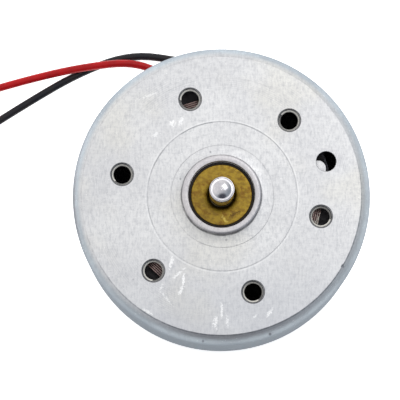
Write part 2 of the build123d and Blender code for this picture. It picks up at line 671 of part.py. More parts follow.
def lead_tube(name, route, radius=LEAD_R):
    """Builds a lead's tube of straight runs joined by tangent arcs, and prints its arcs and length."""
    radii = lead_radii(route)
    with BuildPart() as tube:
        with BuildLine() as path:
            FilletPolyline(*route, radius=radii)
        wire = path.wire()
        with BuildSketch(Plane(origin=wire @ 0, z_dir=wire % 0)):
            Circle(radius)
        sweep(path=wire)
    length = wire.length
    section = pi * radius**2
    print(f"{name}: length {length:.2f}, volume/section {tube.part.volume / section:.2f}, arcs",
          [round(value, 1) for value in radii], "smallest allowed", round(LIMP_MINIMUM_RADIUS, 2))
    export(tube.part, name)
    return wire


def coil_solid(name, low_z):
    """Builds the outer shape of one lead's coil, two turns wide and two turns high."""
    with BuildPart() as coil:
        with BuildSketch(Plane.XZ):
            with Locations((RING_MIDDLE_R, low_z + TURN_PITCH / 2)):
                RectangleRounded(2 * TURN_PITCH, 2 * TURN_PITCH, COIL_SECTION_CORNER)
        revolve(axis=Axis.Z)
    export(Pos(COIL_CENTRE[0], COIL_CENTRE[1], 0) * coil.part, name)


coil_solid("black_lead_coil", BLACK_LOW_Z)
coil_solid("red_lead_coil", RED_LOW_Z)

# Along the tangent, aside from it, and how much of the drop to the surface is done.
END_STEPS = [(0.6, 0, 0), (2.4, 0.1, 0.2), (4.4, 0.5, 0.85), (6.2, 1.2, 1)]
LEADS = {
    "black": (BLACK_ROUTE, BLACK_EXIT_ANGLE, BLACK_LOW_Z + TURN_PITCH),
    "red": (RED_ROUTE, RED_EXIT_ANGLE, RED_LOW_Z + TURN_PITCH),
}
for colour, (route, exit_angle, exit_z) in LEADS.items():
    lead_tube(f"{colour}_lead", route)
    end_wire = lead_tube(f"{colour}_lead_end", tangent_exit(exit_angle, exit_z, END_STEPS))
    # the tinned strands, a plain pin in line with the lead's end
    tip_heading = end_wire % 1
    with BuildPart() as tip:
        with BuildSketch(Plane(origin=end_wire @ 1, z_dir=(tip_heading.X, tip_heading.Y, 0))):
            Circle(TIP_R)
        extrude(amount=TIP_LENGTH)
        fillet(tip.edges().filter_by(GeomType.CIRCLE).sort_by(
            lambda edge: (edge.center() - (end_wire @ 1)).length)[-1], TIP_FILLET)
    export(tip.part, f"{colour}_lead_tip")

# A flat band round both coils.
TIE_ANGLE = 20
TIE_BAND = 0.1
TIE_WIDTH = 1.2
TIE_SLACK = 0.08
TIE_OUTER_CORNER = 0.3
TIE_INNER_CORNER = 0.2
tie_plane = Plane(
    origin=(COIL_CENTRE[0], COIL_CENTRE[1], 0),
    x_dir=(cos(radians(TIE_ANGLE)), sin(radians(TIE_ANGLE)), 0),
    z_dir=(sin(radians(TIE_ANGLE)), -cos(radians(TIE_ANGLE)), 0),
)
tie_height = 4 * TURN_PITCH
with BuildPart() as lead_tie:
    with BuildSketch(tie_plane.offset(-TIE_WIDTH / 2)):
        with Locations((RING_MIDDLE_R, TIE_GAP + tie_height / 2)):
            RectangleRounded(2 * (TURN_PITCH + TIE_SLACK + TIE_BAND), tie_height + 2 * TIE_BAND,
                             TIE_OUTER_CORNER)
            RectangleRounded(2 * (TURN_PITCH + TIE_SLACK), tie_height, TIE_INNER_CORNER, mode=Mode.SUBTRACT)
    extrude(amount=TIE_WIDTH)
export(lead_tie.part, "lead_tie")
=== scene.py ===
import json
import logging
from collections.abc import Callable, Iterator
from contextlib import contextmanager
from dataclasses import dataclass, field
from enum import Enum
from math import atan2, cos, pi, radians, sin, sqrt

import bpy
from mathutils import Matrix, Vector

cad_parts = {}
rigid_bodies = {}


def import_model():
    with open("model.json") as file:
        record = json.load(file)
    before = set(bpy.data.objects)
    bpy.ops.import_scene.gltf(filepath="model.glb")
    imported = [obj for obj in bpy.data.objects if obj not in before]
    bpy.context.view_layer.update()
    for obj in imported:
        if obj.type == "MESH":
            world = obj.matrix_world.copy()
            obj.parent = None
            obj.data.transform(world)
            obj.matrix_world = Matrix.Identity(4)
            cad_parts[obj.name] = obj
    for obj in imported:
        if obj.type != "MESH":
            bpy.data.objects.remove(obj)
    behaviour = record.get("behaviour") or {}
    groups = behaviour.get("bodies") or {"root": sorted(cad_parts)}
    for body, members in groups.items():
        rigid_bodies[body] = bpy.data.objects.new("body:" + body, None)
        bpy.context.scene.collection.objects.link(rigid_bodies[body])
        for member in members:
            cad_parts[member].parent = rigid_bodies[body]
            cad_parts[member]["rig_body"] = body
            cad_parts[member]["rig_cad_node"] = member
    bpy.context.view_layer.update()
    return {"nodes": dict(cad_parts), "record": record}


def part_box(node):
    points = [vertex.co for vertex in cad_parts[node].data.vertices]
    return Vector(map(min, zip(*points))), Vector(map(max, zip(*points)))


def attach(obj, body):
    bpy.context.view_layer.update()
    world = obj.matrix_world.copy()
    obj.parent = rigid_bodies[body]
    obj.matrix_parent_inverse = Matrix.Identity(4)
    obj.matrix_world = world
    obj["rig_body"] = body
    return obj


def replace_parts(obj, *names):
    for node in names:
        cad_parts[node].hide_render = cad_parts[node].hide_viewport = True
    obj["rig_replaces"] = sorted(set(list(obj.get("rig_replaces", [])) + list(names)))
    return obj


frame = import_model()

# A small flat direct-current motor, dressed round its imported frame. Sizes in this script are
# millimetres, as in the part, and MM turns them into Blender's metres. The shaft's axis is Z.
MM = 0.001
WELD = 0.0004

Point = tuple[float, float]
Place = tuple[float, float, float]
Colour = tuple[float, float, float]
Piece = bpy.types.Object
Socket = bpy.types.NodeSocket

log = logging.getLogger("motor")
MOUNTS = {mount["name"]: mount for mount in frame["record"]["mounts"]}


class Body(Enum):
    """The two bodies that pieces ride on."""

    MOTOR = "motor_body"
    ROTOR = "rotor"


# ------------------------------------------------------------------------------ measuring
def box_mm(node: str) -> tuple[Vector, Vector]:
    """Gives a CAD node's lowest and highest corners in millimetres."""
    low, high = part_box(node)
    return low / MM, high / MM


def polar(radius: float, degrees: float) -> Point:
    """Gives the point at a radius and an angle about the shaft's axis."""
    return radius * cos(radians(degrees)), radius * sin(radians(degrees))


def arc(centre: Point, radius: float, start: float, end: float, steps: int) -> list[Point]:
    """Gives the points of a round stretch of an outline.

    Args:
        centre: The arc's centre.
        radius: Its radius.
        start: The angle it starts at, in degrees.
        end: The angle it ends at.
        steps: How many pieces it is cut into.

    Returns:
        The points, both ends among them.
    """
    angles = [radians(start + (end - start) * step / steps) for step in range(steps + 1)]
    return [(centre[0] + radius * cos(a), centre[1] + radius * sin(a)) for a in angles]


# ------------------------------------------------------------------------------ modelling
def start(name: str, primitive: Callable[..., object], **settings: object) -> Piece:
    """Adds a primitive with nothing else selected.

    Args:
        name: The new piece's name.
        primitive: The operator that adds it.
        settings: The operator's own settings.

    Returns:
        The new piece.
    """
    bpy.ops.object.select_all(action="DESELECT")
    primitive(**settings)
    piece = bpy.context.object
    piece.name = piece.data.name = name
    return piece


def pick(piece: Piece) -> None:
    """Selects one piece alone and makes it the active one."""
    bpy.ops.object.select_all(action="DESELECT")
    piece.select_set(True)
    bpy.context.view_layer.objects.active = piece


@contextmanager
def editing(piece: Piece) -> Iterator[None]:
    """Opens a piece in edit mode with all of it selected, and closes it again."""
    pick(piece)
    bpy.ops.object.mode_set(mode="EDIT")
    bpy.ops.mesh.select_all(action="SELECT")
    yield
    bpy.ops.object.mode_set(mode="OBJECT")


def weld(piece: Piece) -> None:
    """Merges what coincides and turns every face outwards."""
    with editing(piece):
        bpy.ops.mesh.remove_doubles(threshold=WELD * MM)
        bpy.ops.mesh.normals_make_consistent(inside=False)


def finish_modifier(piece: Piece, kind: str, **settings: object) -> None:
    """Adds a modifier to a piece and applies it.

    Args:
        piece: The piece.
        kind: The modifier's type.
        settings: The modifier's own settings.
    """
    modifier = piece.modifiers.new(kind.lower(), kind)
    for key, value in settings.items():
        setattr(modifier, key, value)
    pick(piece)
    bpy.ops.object.modifier_apply(modifier=modifier.name)


def smooth(piece: Piece, degrees: float = 24.0) -> None:
    """Shades a piece smooth, with edges sharper than an angle left crisp."""
    pick(piece)
    bpy.ops.object.shade_smooth_by_angle(angle=radians(degrees))


def settle(piece: Piece) -> None:
    """Puts a piece's place and turn into its mesh."""
    pick(piece)
    bpy.ops.object.transform_apply(location=True, rotation=True, scale=True)


def outline_piece(name: str, outline: list[Point], closed: bool = True) -> Piece:
    """Draws an outline of (radius, height) points, upright in the XZ plane.

    Args:
        name: The new piece's name.
        outline: The points in millimetres.
        closed: Whether the last point is joined to the first.

    Returns:
        The outline as a wire.
    """
    points = outline + outline[:1] if closed else outline
    piece = start(name, bpy.ops.mesh.primitive_plane_add, size=MM)
    with editing(piece):
        bpy.ops.mesh.merge(type="CENTER")
        bpy.ops.transform.translate(value=(points[0][0] * MM, 0, points[0][1] * MM))
        for before, after in zip(points, points[1:]):
            step = ((after[0] - before[0]) * MM, 0, (after[1] - before[1]) * MM)
            bpy.ops.mesh.extrude_region_move(TRANSFORM_OT_translate={"value": step})
        bpy.ops.mesh.select_all(action="SELECT")
        bpy.ops.mesh.remove_doubles(threshold=WELD * MM)
    return piece


def lathe(name: str, outline: list[Point], segments: int = 192, closed: bool = True) -> Piece:
    """Spins an outline round the shaft's axis.

    Args:
        name: The new piece's name.
        outline: Its (radius, height) points in millimetres.
        segments: How many steps the turn has.
        closed: Whether the last point is joined to the first.

    Returns:
        The turned piece.
    """
    piece = outline_piece(name, outline, closed)
    with editing(piece):
        bpy.ops.mesh.spin(steps=segments, angle=2 * pi, center=(0, 0, 0), axis=(0, 0, 1))
    weld(piece)
    return piece


def copy_piece(piece: Piece, name: str, degrees: float = 0.0, place: Place = (0, 0, 0)) -> Piece:
    """Copies a piece with a mesh of its own, turned about Z and moved.

    Args:
        piece: The piece to copy.
        name: The copy's name.
        degrees: Its turn about the Z axis.
        place: Where it goes, in millimetres.

    Returns:
        The copy, with its place in its mesh.
    """
    copy = piece.copy()
    copy.data = piece.data.copy()
    copy.name = copy.data.name = name
    bpy.context.scene.collection.objects.link(copy)
    copy.matrix_world = Matrix.Translation(Vector(place) * MM) @ Matrix.Rotation(radians(degrees), 4, "Z")
    settle(copy)
    return copy


def join(name: str, pieces: list[Piece]) -> Piece:
    """Joins pieces into one."""
    pick(pieces[0])
    for piece in pieces:
        piece.select_set(True)
    bpy.ops.object.join()
    pieces[0].name = pieces[0].data.name = name
    return pieces[0]


def cut(piece: Piece, tool: Piece) -> None:
    """Cuts a tool's shape out of a piece, and takes the tool away."""
    finish_modifier(piece, "BOOLEAN", operation="DIFFERENCE", solver="EXACT", object=tool)
    bpy.data.objects.remove(tool)


def smoothed_copy(node: str, name: str, edge: float, degrees: float = 30.0) -> Piece:
    """Copies a CAD node's mesh, merges its loose triangles and rounds its edges a little.

    Args:
        node: The CAD node.
        name: The copy's name.
        edge: The width of the rounded edges in millimetres.
        degrees: Only edges sharper than this are rounded.

    Returns:
        The copy, riding on nothing yet.
    """
    source = frame["nodes"][node]
    copy = source.copy()
    copy.data = source.data.copy()
    copy.parent = None
    copy.name = copy.data.name = name
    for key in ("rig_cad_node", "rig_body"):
        if key in copy:
            del copy[key]
    bpy.context.scene.collection.objects.link(copy)
    copy.data.materials.clear()
    weld(copy)
    with editing(copy):
        bpy.ops.mesh.dissolve_limited(angle_limit=radians(0.5))
    finish_modifier(copy, "BEVEL", width=edge * MM, segments=2, limit_method="ANGLE",
                    angle_limit=radians(degrees), use_clamp_overlap=True)
    smooth(copy, degrees)
    return copy


# ------------------------------------------------------------------------------ finishes
class NodeBoard:
    """A material's nodes, with short calls for what the finishes share. Lengths are millimetres."""

    def __init__(self, name: str) -> None:
        """Starts a material with one shader and the piece's own coordinates."""
        self.material = bpy.data.materials.new(name)
        self.material.use_nodes = True
        self.nodes = self.material.node_tree.nodes
        self.links = self.material.node_tree.links
        self.shader = self.nodes["Principled BSDF"]
        coordinates = self.nodes.new("ShaderNodeTexCoord")
        self.place = self.mapped(coordinates.outputs["Object"], (1 / MM, 1 / MM, 1 / MM))

    def feed(self, socket: Socket, value: object) -> None:
        """Links a socket to another one, or sets it to a number."""
        if isinstance(value, bpy.types.NodeSocket):
            self.links.new(value, socket)
        else:
            socket.default_value = value

    def mapped(self, vector: Socket, scale: Place, turn: float = 0.0, shift: Place = (0, 0, 0)) -> Socket:
        """Scales, turns and shifts coordinates.

        Args:
            vector: The coordinates.
            scale: The scale along each axis.
            turn: The turn about Z in degrees.
            shift: What is added at the end.

        Returns:
            The new coordinates.
        """
        node = self.nodes.new("ShaderNodeMapping")
        node.inputs["Scale"].default_value = scale
        node.inputs["Rotation"].default_value = (0, 0, radians(turn))
        node.inputs["Location"].default_value = shift
        self.feed(node.inputs["Vector"], vector)
        return node.outputs["Vector"]

    def noise(self, size: float, detail: float = 3.0, vector: Socket | None = None) -> Socket:
        """Gives soft noise with features of about a size."""
        node = self.nodes.new("ShaderNodeTexNoise")
        node.inputs["Scale"].default_value = 1 / size
        node.inputs["Detail"].default_value = detail
        self.feed(node.inputs["Vector"], vector or self.place)
        return node.outputs["Fac"]

    def math(self, operation: str, first: object, second: object = 0.0) -> Socket:
        """Joins two numbers by an operation."""
        node = self.nodes.new("ShaderNodeMath")
        node.operation = operation
        self.feed(node.inputs[0], first)
        self.feed(node.inputs[1], second)
        return node.outputs[0]

    def span(self, value: Socket, low: float, high: float, to_low: float = 0.0,
             to_high: float = 1.0) -> Socket:
        """Maps a stretch of values onto another, and holds the ends."""
        node = self.nodes.new("ShaderNodeMapRange")
        node.interpolation_type = "SMOOTHSTEP"
        for socket, number in zip(list(node.inputs)[1:5], (low, high, to_low, to_high)):
            socket.default_value = number
        self.feed(node.inputs[0], value)
        return node.outputs[0]

    def blend(self, share: object, first: object, second: object, kind: str = "MIX") -> Socket:
        """Blends two colours."""
        node = self.nodes.new("ShaderNodeMix")
        node.data_type = "RGBA"
        node.blend_type = kind
        self.feed(node.inputs[0], share)
        for socket, value in ((node.inputs[6], first), (node.inputs[7], second)):
            self.feed(socket, (*value, 1.0) if isinstance(value, tuple) else value)
        return node.outputs[2]

    def distance(self, centre: Place = (0, 0, 0)) -> Socket:
        """Gives the distance from an upright line through a place."""
        flat = self.mapped(self.place, (1, 1, 0), shift=(-centre[0], -centre[1], 0))
        node = self.nodes.new("ShaderNodeVectorMath")
        node.operation = "LENGTH"
        self.feed(node.inputs[0], flat)
        return node.outputs["Value"]

    def along(self, direction: Place) -> Socket:
        """Gives how far a point lies along a direction."""
        node = self.nodes.new("ShaderNodeVectorMath")
        node.operation = "DOT_PRODUCT"
        self.feed(node.inputs[0], self.place)
        node.inputs[1].default_value = direction
        return node.outputs["Value"]

    def height(self) -> Socket:
        """Gives the height along the shaft."""
        return self.along((0, 0, 1))

    def hole_distance(self, circle: float, first: float, count: int) -> Socket:
        """Gives the distance from the nearest of the holes on a circle.

        Args:
            circle: The hole circle's radius.
            first: The first hole's angle in degrees.
            count: How many holes there are.

        Returns:
            The distance from that hole's axis.
        """
        parts = self.nodes.new("ShaderNodeSeparateXYZ")
        self.feed(parts.inputs[0], self.mapped(self.place, (1, 1, 0), turn=-first))
        share = 2 * pi / count
        turn = self.math("ARCTAN2", parts.outputs[1], parts.outputs[0])
        folded = self.math("WRAP", turn, share / 2)
        folded.node.inputs[2].default_value = -share / 2
        radius = self.distance()
        ahead = self.math("SUBTRACT", self.math("MULTIPLY", radius, self.math("COSINE", folded)), circle)
        aside = self.math("MULTIPLY", radius, self.math("SINE", folded))
        squares = self.math("ADD", self.math("MULTIPLY", ahead, ahead), self.math("MULTIPLY", aside, aside))
        return self.math("SQRT", squares)

    def stroke(self, centre: Point, turn: float, length: float, width: float) -> Socket:
        """Gives 1 on a short straight stroke with ragged edges, and 0 away from it."""
        at_centre = self.mapped(self.place, (1, 1, 0), shift=(-centre[0], -centre[1], 0))
        turned = self.mapped(at_centre, (1, 1, 0), turn=-turn)
        drawn = self.mapped(turned, (2 / length, 2 / width, 0))
        node = self.nodes.new("ShaderNodeVectorMath")
        node.operation = "LENGTH"
        self.feed(node.inputs[0], drawn)
        ragged = self.math("MULTIPLY", self.math("SUBTRACT", self.noise(0.16, 4.0), 0.5), 3.2)
        return self.span(self.math("ADD", node.outputs["Value"], ragged), 0.35, 1.05, 1.0, 0.0)

    def ring(self, radius: Socket, middle: float, width: float) -> Socket:
        """Gives 1 on a thin ring and 0 away from it."""
        off = self.math("ABSOLUTE", self.math("SUBTRACT", radius, middle))
        return self.span(off, width * 0.4, width, 1.0, 0.0)

    def bump(self, height: Socket, depth: float, normal: Socket | None = None) -> Socket:
        """Raises the surface by a pattern, on top of another bump if one is given."""
        node = self.nodes.new("ShaderNodeBump")
        node.inputs["Strength"].default_value = 1.0
        node.inputs["Distance"].default_value = depth * MM
        self.feed(node.inputs["Height"], height)
        if normal is not None:
            self.feed(node.inputs["Normal"], normal)
        return node.outputs["Normal"]

    def set(self, name: str, value: object) -> None:
        """Sets or links one of the shader's sockets."""
        self.feed(self.shader.inputs[name], value)


@dataclass(frozen=True)
class Finish:
    """A finish with two tones in blotches, a fine grain and a spread of roughness.

    Attributes:
        slot: The record's material slot.
        tone: The main colour.
        second: The colour of the blotches.
        metallic: 1 for bare metal.
        roughness: The roughness of the smoothest and the dullest places.
        blotch: The size of the blotches in millimetres.
        grain: The size of the grain in millimetres.
        depth: The depth of the grain in millimetres.
        draw: How the grain is stretched along each axis.
        coat: The weight of a clear coat.
    """

    slot: str
    tone: Colour
    second: Colour
    metallic: float = 0.0
    roughness: tuple[float, float] = (0.35, 0.55)
    blotch: float = 1.2
    grain: float = 0.12
    depth: float = 0.004
    draw: Place = (1, 1, 1)
    coat: float = 0.0

    def material(self) -> bpy.types.Material:
        """Gives the finish's material, built once."""
        return bpy.data.materials.get(self.title()) or self.build()

    def title(self) -> str:
        """Gives the material's name, which differs from the frame's own materials."""
        return f"{self.slot}_finish"

    def build(self) -> bpy.types.Material:
        """Builds the material."""
        board = NodeBoard(self.title())
        blotches = board.span(board.noise(self.blotch, 5.0), 0.35, 0.7)
        grain = board.noise(self.grain, 4.0, board.mapped(board.place, self.draw))
        tone = board.blend(blotches, self.tone, self.second)
        shade = board.span(grain, 0.3, 0.7, 0.0, 0.35)
        board.set("Base Color", board.blend(shade, tone, self.second, "MULTIPLY"))
        board.set("Roughness", board.span(board.noise(self.blotch * 0.4, 4.0), 0.3, 0.7, *self.roughness))
        board.set("Normal", board.bump(grain, self.depth))
        board.set("Metallic", self.metallic)
        board.set("Coat Weight", self.coat)
        return board.material

    def dress(self, piece: Piece) -> None:
        """Gives a piece this finish alone."""
        piece.data.materials.clear()
        piece.data.materials.append(self.material())


@dataclass(frozen=True)
class Stain:
    """A small mark on the case: its place, its size and whether it is dark."""

    x: float
    y: float
    radius: float
    dark: float


@dataclass(frozen=True)
class Scuff:
    """A bright scuff on the face: its middle, its direction, its size and its strength."""

    x: float
    y: float
    turn: float
    length: float
    width: float
    strength: float


@dataclass(frozen=True)
class ZincPlate(Finish):
    """Zinc plating: a ground, brushed face with scuffs and faint rings, and a darker bluish wall.

    Painted shade: the near side of the face and its border are toned darker, the wall darker further down,
    and the holes' dark walls are drawn at every height below the face.
    """

    rings: tuple[tuple[float, float], ...] = (
        (6.12, 0.42), (4.2, 0.16), (5.2, 0.06), (3.75, 0.08), (9.75, 0.10))
    ring_centre: Place = (0.06, -0.08, 0)
    turning: tuple[float, float] = (8.3, 10.9)
    wall_tone: Colour = (0.41, 0.45, 0.48)
    side_tone: Colour = (0.15, 0.175, 0.20)
    grazing_tint: Colour = (0.6, 0.63, 0.66)
    near_side_shade_tone: Colour = (0.40, 0.42, 0.47)
    border_radius: float = 11.45
    scuff_reach: float = 1.3
    scuff_spread: float = 2.2
    face_z: float = MOUNTS["mounting_face"]["pos_m"][2] / MM
    holes: tuple[float, float, int] = (8.3, 48.0, 6)
    hole_radius: float = MOUNTS["mounting_holes"]["dims"]["hole_r_mm"]
    stains: tuple[Stain, ...] = (
        Stain(3.96, -11.32, 0.16, 0.8), Stain(-1.51, -11.89, 0.14, 0.7), Stain(-7.2, -6.9, 0.1, 0.3),
        Stain(9.87, -5.81, 0.17, 0.75), Stain(-3.35, 1.33, 0.09, 0.55), Stain(0.4, -3.65, 0.14, 0.4),
        Stain(-0.9, 3.55, 0.1, 0.5),
    )
    scuffs: tuple[Scuff, ...] = (
        Scuff(-4.1, -5.5, 75, 0.9, 0.14, 0.7), Scuff(-3.5, -6.4, 40, 1.1, 0.12, 0.6),
        Scuff(-3.1, -6.9, 80, 0.9, 0.12, 0.8), Scuff(-3.3, -7.8, 60, 0.8, 0.16, 0.7),
        Scuff(-4.9, -7.5, 70, 0.5, 0.12, 0.5), Scuff(-4.5, -8.4, -50, 1.2, 0.1, 0.4),
        Scuff(-6.0, -9.5, -30, 0.9, 0.12, 0.5), Scuff(0.0, -9.4, 88, 1.2, 0.12, 0.6),
        Scuff(-0.5, -10.4, 85, 0.9, 0.2, 0.6), Scuff(0.5, -10.3, 92, 0.8, 0.14, 0.5),
        Scuff(3.9, -9.6, 50, 0.8, 0.16, 0.6), Scuff(-4.0, 5.9, 60, 0.4, 0.25, 0.7),
        Scuff(-3.3, 6.1, 70, 0.6, 0.2, 0.7), Scuff(-5.4, 5.0, 35, 0.5, 0.2, 0.5),
        Scuff(2.7, -9.9, 30, 0.7, 0.08, 0.4), Scuff(-5.9, 8.2, 20, 1.4, 0.1, 0.35),
    )

    def face_marks(self, board: NodeBoard, tone: Socket, mottle: Socket) -> tuple[Socket, Socket]:
        """Adds the face's rings, drawn as painted shade lines stronger towards the far left with a painted
        highlight beside the outer one, and its faint turning marks.

        Args:
            board: The material's nodes.
            tone: The colour so far.
            mottle: A soft noise that makes the rings uneven.

        Returns:
            The colour with the marks, and how deep they are.
        """
        radius = board.distance(self.ring_centre)
        # painted shade: the rings are drawn as dark lines, stronger towards the far left
        facing = board.span(board.along((-0.55, 0.83, 0)), -7.0, 6.0, 0.35, 1.0)
        patchy = board.span(board.noise(2.2, 2.0), 0.36, 0.6, 0.25, 1.0)
        rings: Socket | float = 0.0
        for middle, strength in self.rings:
            wobble = board.math("MULTIPLY", board.math("SUBTRACT", mottle, 0.5), 0.06)
            line = board.ring(board.math("ADD", radius, wobble), middle, 0.07)
            rings = board.math("MAXIMUM", rings, board.math("MULTIPLY", line, strength))
        rings = board.math("MULTIPLY", board.math("MULTIPLY", rings, facing), patchy)
        tone = board.blend(rings, tone, (0.14, 0.15, 0.17))
        # painted highlight: a pale line beside the outer ring
        edge = board.ring(radius, self.rings[0][0] + 0.12, 0.08)
        tone = board.blend(board.math("MULTIPLY", edge, 0.2), tone, (0.98, 0.98, 0.98))
        waves = board.math("SINE", board.math("MULTIPLY", board.distance(), 40.0))
        inside = board.math("MULTIPLY", board.span(board.distance(), self.turning[0], self.turning[0] + 0.6),
                            board.span(board.distance(), self.turning[1] - 0.5, self.turning[1], 1.0, 0.0))
        worn = board.span(board.noise(3.2, 2.0, board.mapped(board.place, (1, 1, 1), shift=(3, 12, 0))),
                          0.46, 0.62)
        marks = board.math("MULTIPLY", board.math("MULTIPLY", waves, inside), worn)
        tone = board.blend(board.span(marks, 0.2, 1.0, 0.0, 0.20), tone, (0.35, 0.36, 0.4))
        return tone, board.math("ADD", rings, board.math("MULTIPLY", marks, 0.15))

    def paint_hole_and_gap_shade(self, board: NodeBoard, tone: Socket, mottle: Socket) -> Socket:
        """Paints shade into the holes' walls and rims, the gap round the bush and the foot of the boss."""
        # painted shade: the holes' walls are dark at every height below the face, with a dark ring at their
        # chamfers
        off = board.hole_distance(*self.holes)
        low = board.span(board.height(), self.face_z - 0.04, self.face_z - 0.01, 1.0, 0.0)
        wall = board.math("MULTIPLY", low, board.span(off, self.hole_radius - 0.01, self.hole_radius + 0.03,
                                                      1.0, 0.0))
        tone = board.blend(board.math("MULTIPLY", wall, 0.9), tone, (0.035, 0.035, 0.045))
        rim = board.ring(off, self.hole_radius + 0.075, 0.045)
        tone = board.blend(board.math("MULTIPLY", rim, 0.85), tone, (0.03, 0.03, 0.035))
        # painted shade inside the plain hole
        place = [value / MM for value in MOUNTS["locating_hole"]["pos_m"][:2]]
        plain = board.distance((*place, 0))
        inside = board.math("MULTIPLY", low, board.span(plain, 0.95, 1.05, 1.0, 0.0))
        tone = board.blend(board.math("MULTIPLY", inside, 0.9), tone, (0.03, 0.03, 0.04))
        centre = board.distance()
        boss = MOUNTS["front_boss"]["dims"]["r_mm"]
        # painted shade: a dark line round the face's border, stronger on the near side
        border = board.math("MULTIPLY", board.ring(centre, self.border_radius, 0.07),
                            board.span(mottle, 0.35, 0.6, 0.4, 1.0))
        border = board.math("MULTIPLY", border,
                            board.span(board.along((0.35, -0.94, 0)), -2.0, 8.0, 0.1, 0.55))
        tone = board.blend(border, tone, (0.13, 0.15, 0.17))
        # painted shade in the gap between the bush and the boss's bore
        gap = board.math("MULTIPLY", board.span(centre, boss - 0.57, boss - 0.54, 1.0, 0.0),
                         board.span(board.height(), self.face_z + 0.86, self.face_z + 0.93, 1.0, 0.0))
        tone = board.blend(board.math("MULTIPLY", gap, 0.97), tone, (0.012, 0.008, 0.006))
        # painted shade round the foot of the boss
        foot = board.math("MULTIPLY", board.ring(centre, boss + 0.01, 0.09),
                          board.span(board.noise(0.9, 3.0), 0.35, 0.6, 0.5, 1.0))
        tone = board.blend(board.math("MULTIPLY", foot, 0.75), tone, (0.06, 0.06, 0.07))
        crown = board.math("MULTIPLY", board.span(centre, boss + 0.02, boss - 0.04, 0.0, 1.0),
                           board.span(board.height(), self.face_z + 0.3, self.face_z + 0.6))
        return board.blend(board.math("MULTIPLY", crown, 0.35), tone, (0.45, 0.40, 0.43))

    def build(self) -> bpy.types.Material:
        """Builds the material."""
        board = NodeBoard(self.title())
        streaks = board.noise(1.0, 6.0, board.mapped(board.place, (6.5, 2.0, 1.0), turn=4))
        cross = board.noise(1.0, 5.0, board.mapped(board.place, (1.6, 6.0, 1.0), turn=-12))
        fine = board.noise(0.10, 4.0)
        mottle = board.noise(0.42, 6.0)
        clouds = board.noise(4.5, 3.0)
        warm = board.noise(6.5, 2.0, board.mapped(board.place, (1, 1, 1), shift=(31, 7, 0)))
        specks = board.span(board.noise(0.12, 2.0), 0.66, 0.76)
        pits = board.span(board.noise(0.14, 2.0, board.mapped(board.place, (1, 1, 1), shift=(9, 4, 2))),
                          0.70, 0.8)

        # the plating's tone, in clouds: bright where the face is ground, bluish down the wall
        ground = board.span(board.height(), self.face_z - 0.42, self.face_z - 0.03)
        tone = board.blend(board.span(clouds, 0.35, 0.68), self.tone, self.second)
        tone = board.blend(board.span(warm, 0.52, 0.72, 0.0, 0.4), tone, (0.70, 0.68, 0.61))
        texture = board.math("ADD", board.math("MULTIPLY", streaks, 0.42), board.math("MULTIPLY", cross, 0.2))
        texture = board.math("ADD", texture, board.math("MULTIPLY", mottle, 0.22))
        texture = board.math("ADD", texture, board.math("MULTIPLY", fine, 0.26))
        # the wall: bluish plating, with painted shade: darker than the face, and darker still further down
        side = board.blend(board.span(board.height(), 12.0, self.face_z - 0.25),
                           self.side_tone, self.wall_tone)
        side = board.blend(board.span(clouds, 0.35, 0.68, 0.0, 0.3), side, self.side_tone)
        tone = board.blend(ground, side, tone)
        tone = board.blend(board.span(texture, 0.46, 0.70, 0.0, 0.40), tone, (0.36, 0.37, 0.40))
        tone = board.blend(board.math("MULTIPLY", specks, 0.55), tone, (0.95, 0.95, 0.95))
        tone = board.blend(board.math("MULTIPLY", pits, 0.4), tone, (0.26, 0.26, 0.28))
        # painted shade: the near side of the face is toned darker and bluish
        near = board.span(board.along((0.1, -1, 0)), 3.0, 11.5, 0.0, 0.36)
        tone = board.blend(board.math("MULTIPLY", near, ground), tone, self.near_side_shade_tone)
        tone, lines = self.face_marks(board, tone, mottle)
        scratches: Socket | float = 0.0
        for scuff in self.scuffs:
            stroke = board.stroke((scuff.x, scuff.y), scuff.turn, self.scuff_reach * scuff.length,
                                  self.scuff_spread * scuff.width)
            scratches = board.math("MAXIMUM", scratches, board.math("MULTIPLY", stroke, scuff.strength))
        scratches = board.math("MULTIPLY", scratches,
                               board.math("MULTIPLY", ground, board.span(fine, 0.30, 0.55)))
        tone = board.blend(scratches, tone, (1.0, 1.0, 1.0))
        for stain in self.stains:
            spot = board.span(board.distance((stain.x, stain.y, 0)), stain.radius * 0.4, stain.radius,
                              1.0, 0.0)
            tone = board.blend(board.math("MULTIPLY", spot, stain.dark), tone, (0.12, 0.12, 0.14))
        board.set("Base Color", self.paint_hole_and_gap_shade(board, tone, mottle))
        # painted shade: the wall's reflections are tinted darker and bluish
        board.set("Specular Tint", board.blend(ground, self.grazing_tint, (1.0, 1.0, 1.0)))
        board.set("Metallic", self.metallic)
        board.set("Roughness", board.span(texture, 0.40, 0.75, *self.roughness))

        relief = board.math("ADD", texture, board.math("MULTIPLY", specks, 0.25))
        relief = board.math("SUBTRACT", relief, board.math("MULTIPLY", pits, 0.3))
        normal = board.bump(relief, self.depth)
        board.set("Normal", board.bump(lines, -0.006, normal))
        return board.material


@dataclass(frozen=True)
class ThreadCut(ZincPlate):
    """Freshly cut thread: a bright crest, with painted shade: a black root, darker further down."""

    def title(self) -> str:
        """Gives the material's name."""
        return "thread_cut_finish"

    def build(self) -> bpy.types.Material:
        """Builds the material."""
        board = NodeBoard(self.title())
        off = board.hole_distance(*self.holes)
        # painted shade: the thread's root is black, and the crest darkens further down the hole
        crest = board.span(off, self.hole_radius - 0.05, self.hole_radius - 0.015, 1.0, 0.0)
        deep = board.span(board.height(), self.face_z - 0.75, self.face_z - 0.1)
        grain = board.noise(0.09, 4.0)
        bright = board.blend(board.span(grain, 0.35, 0.65), self.tone, self.second)
        lit = board.blend(deep, (0.12, 0.12, 0.13), bright)
        board.set("Base Color", board.blend(crest, (0.03, 0.03, 0.035), lit))
        board.set("Metallic", self.metallic)
        board.set("Roughness", board.span(grain, 0.3, 0.7, *self.roughness))
        board.set("Normal", board.bump(grain, self.depth))
        return board.material


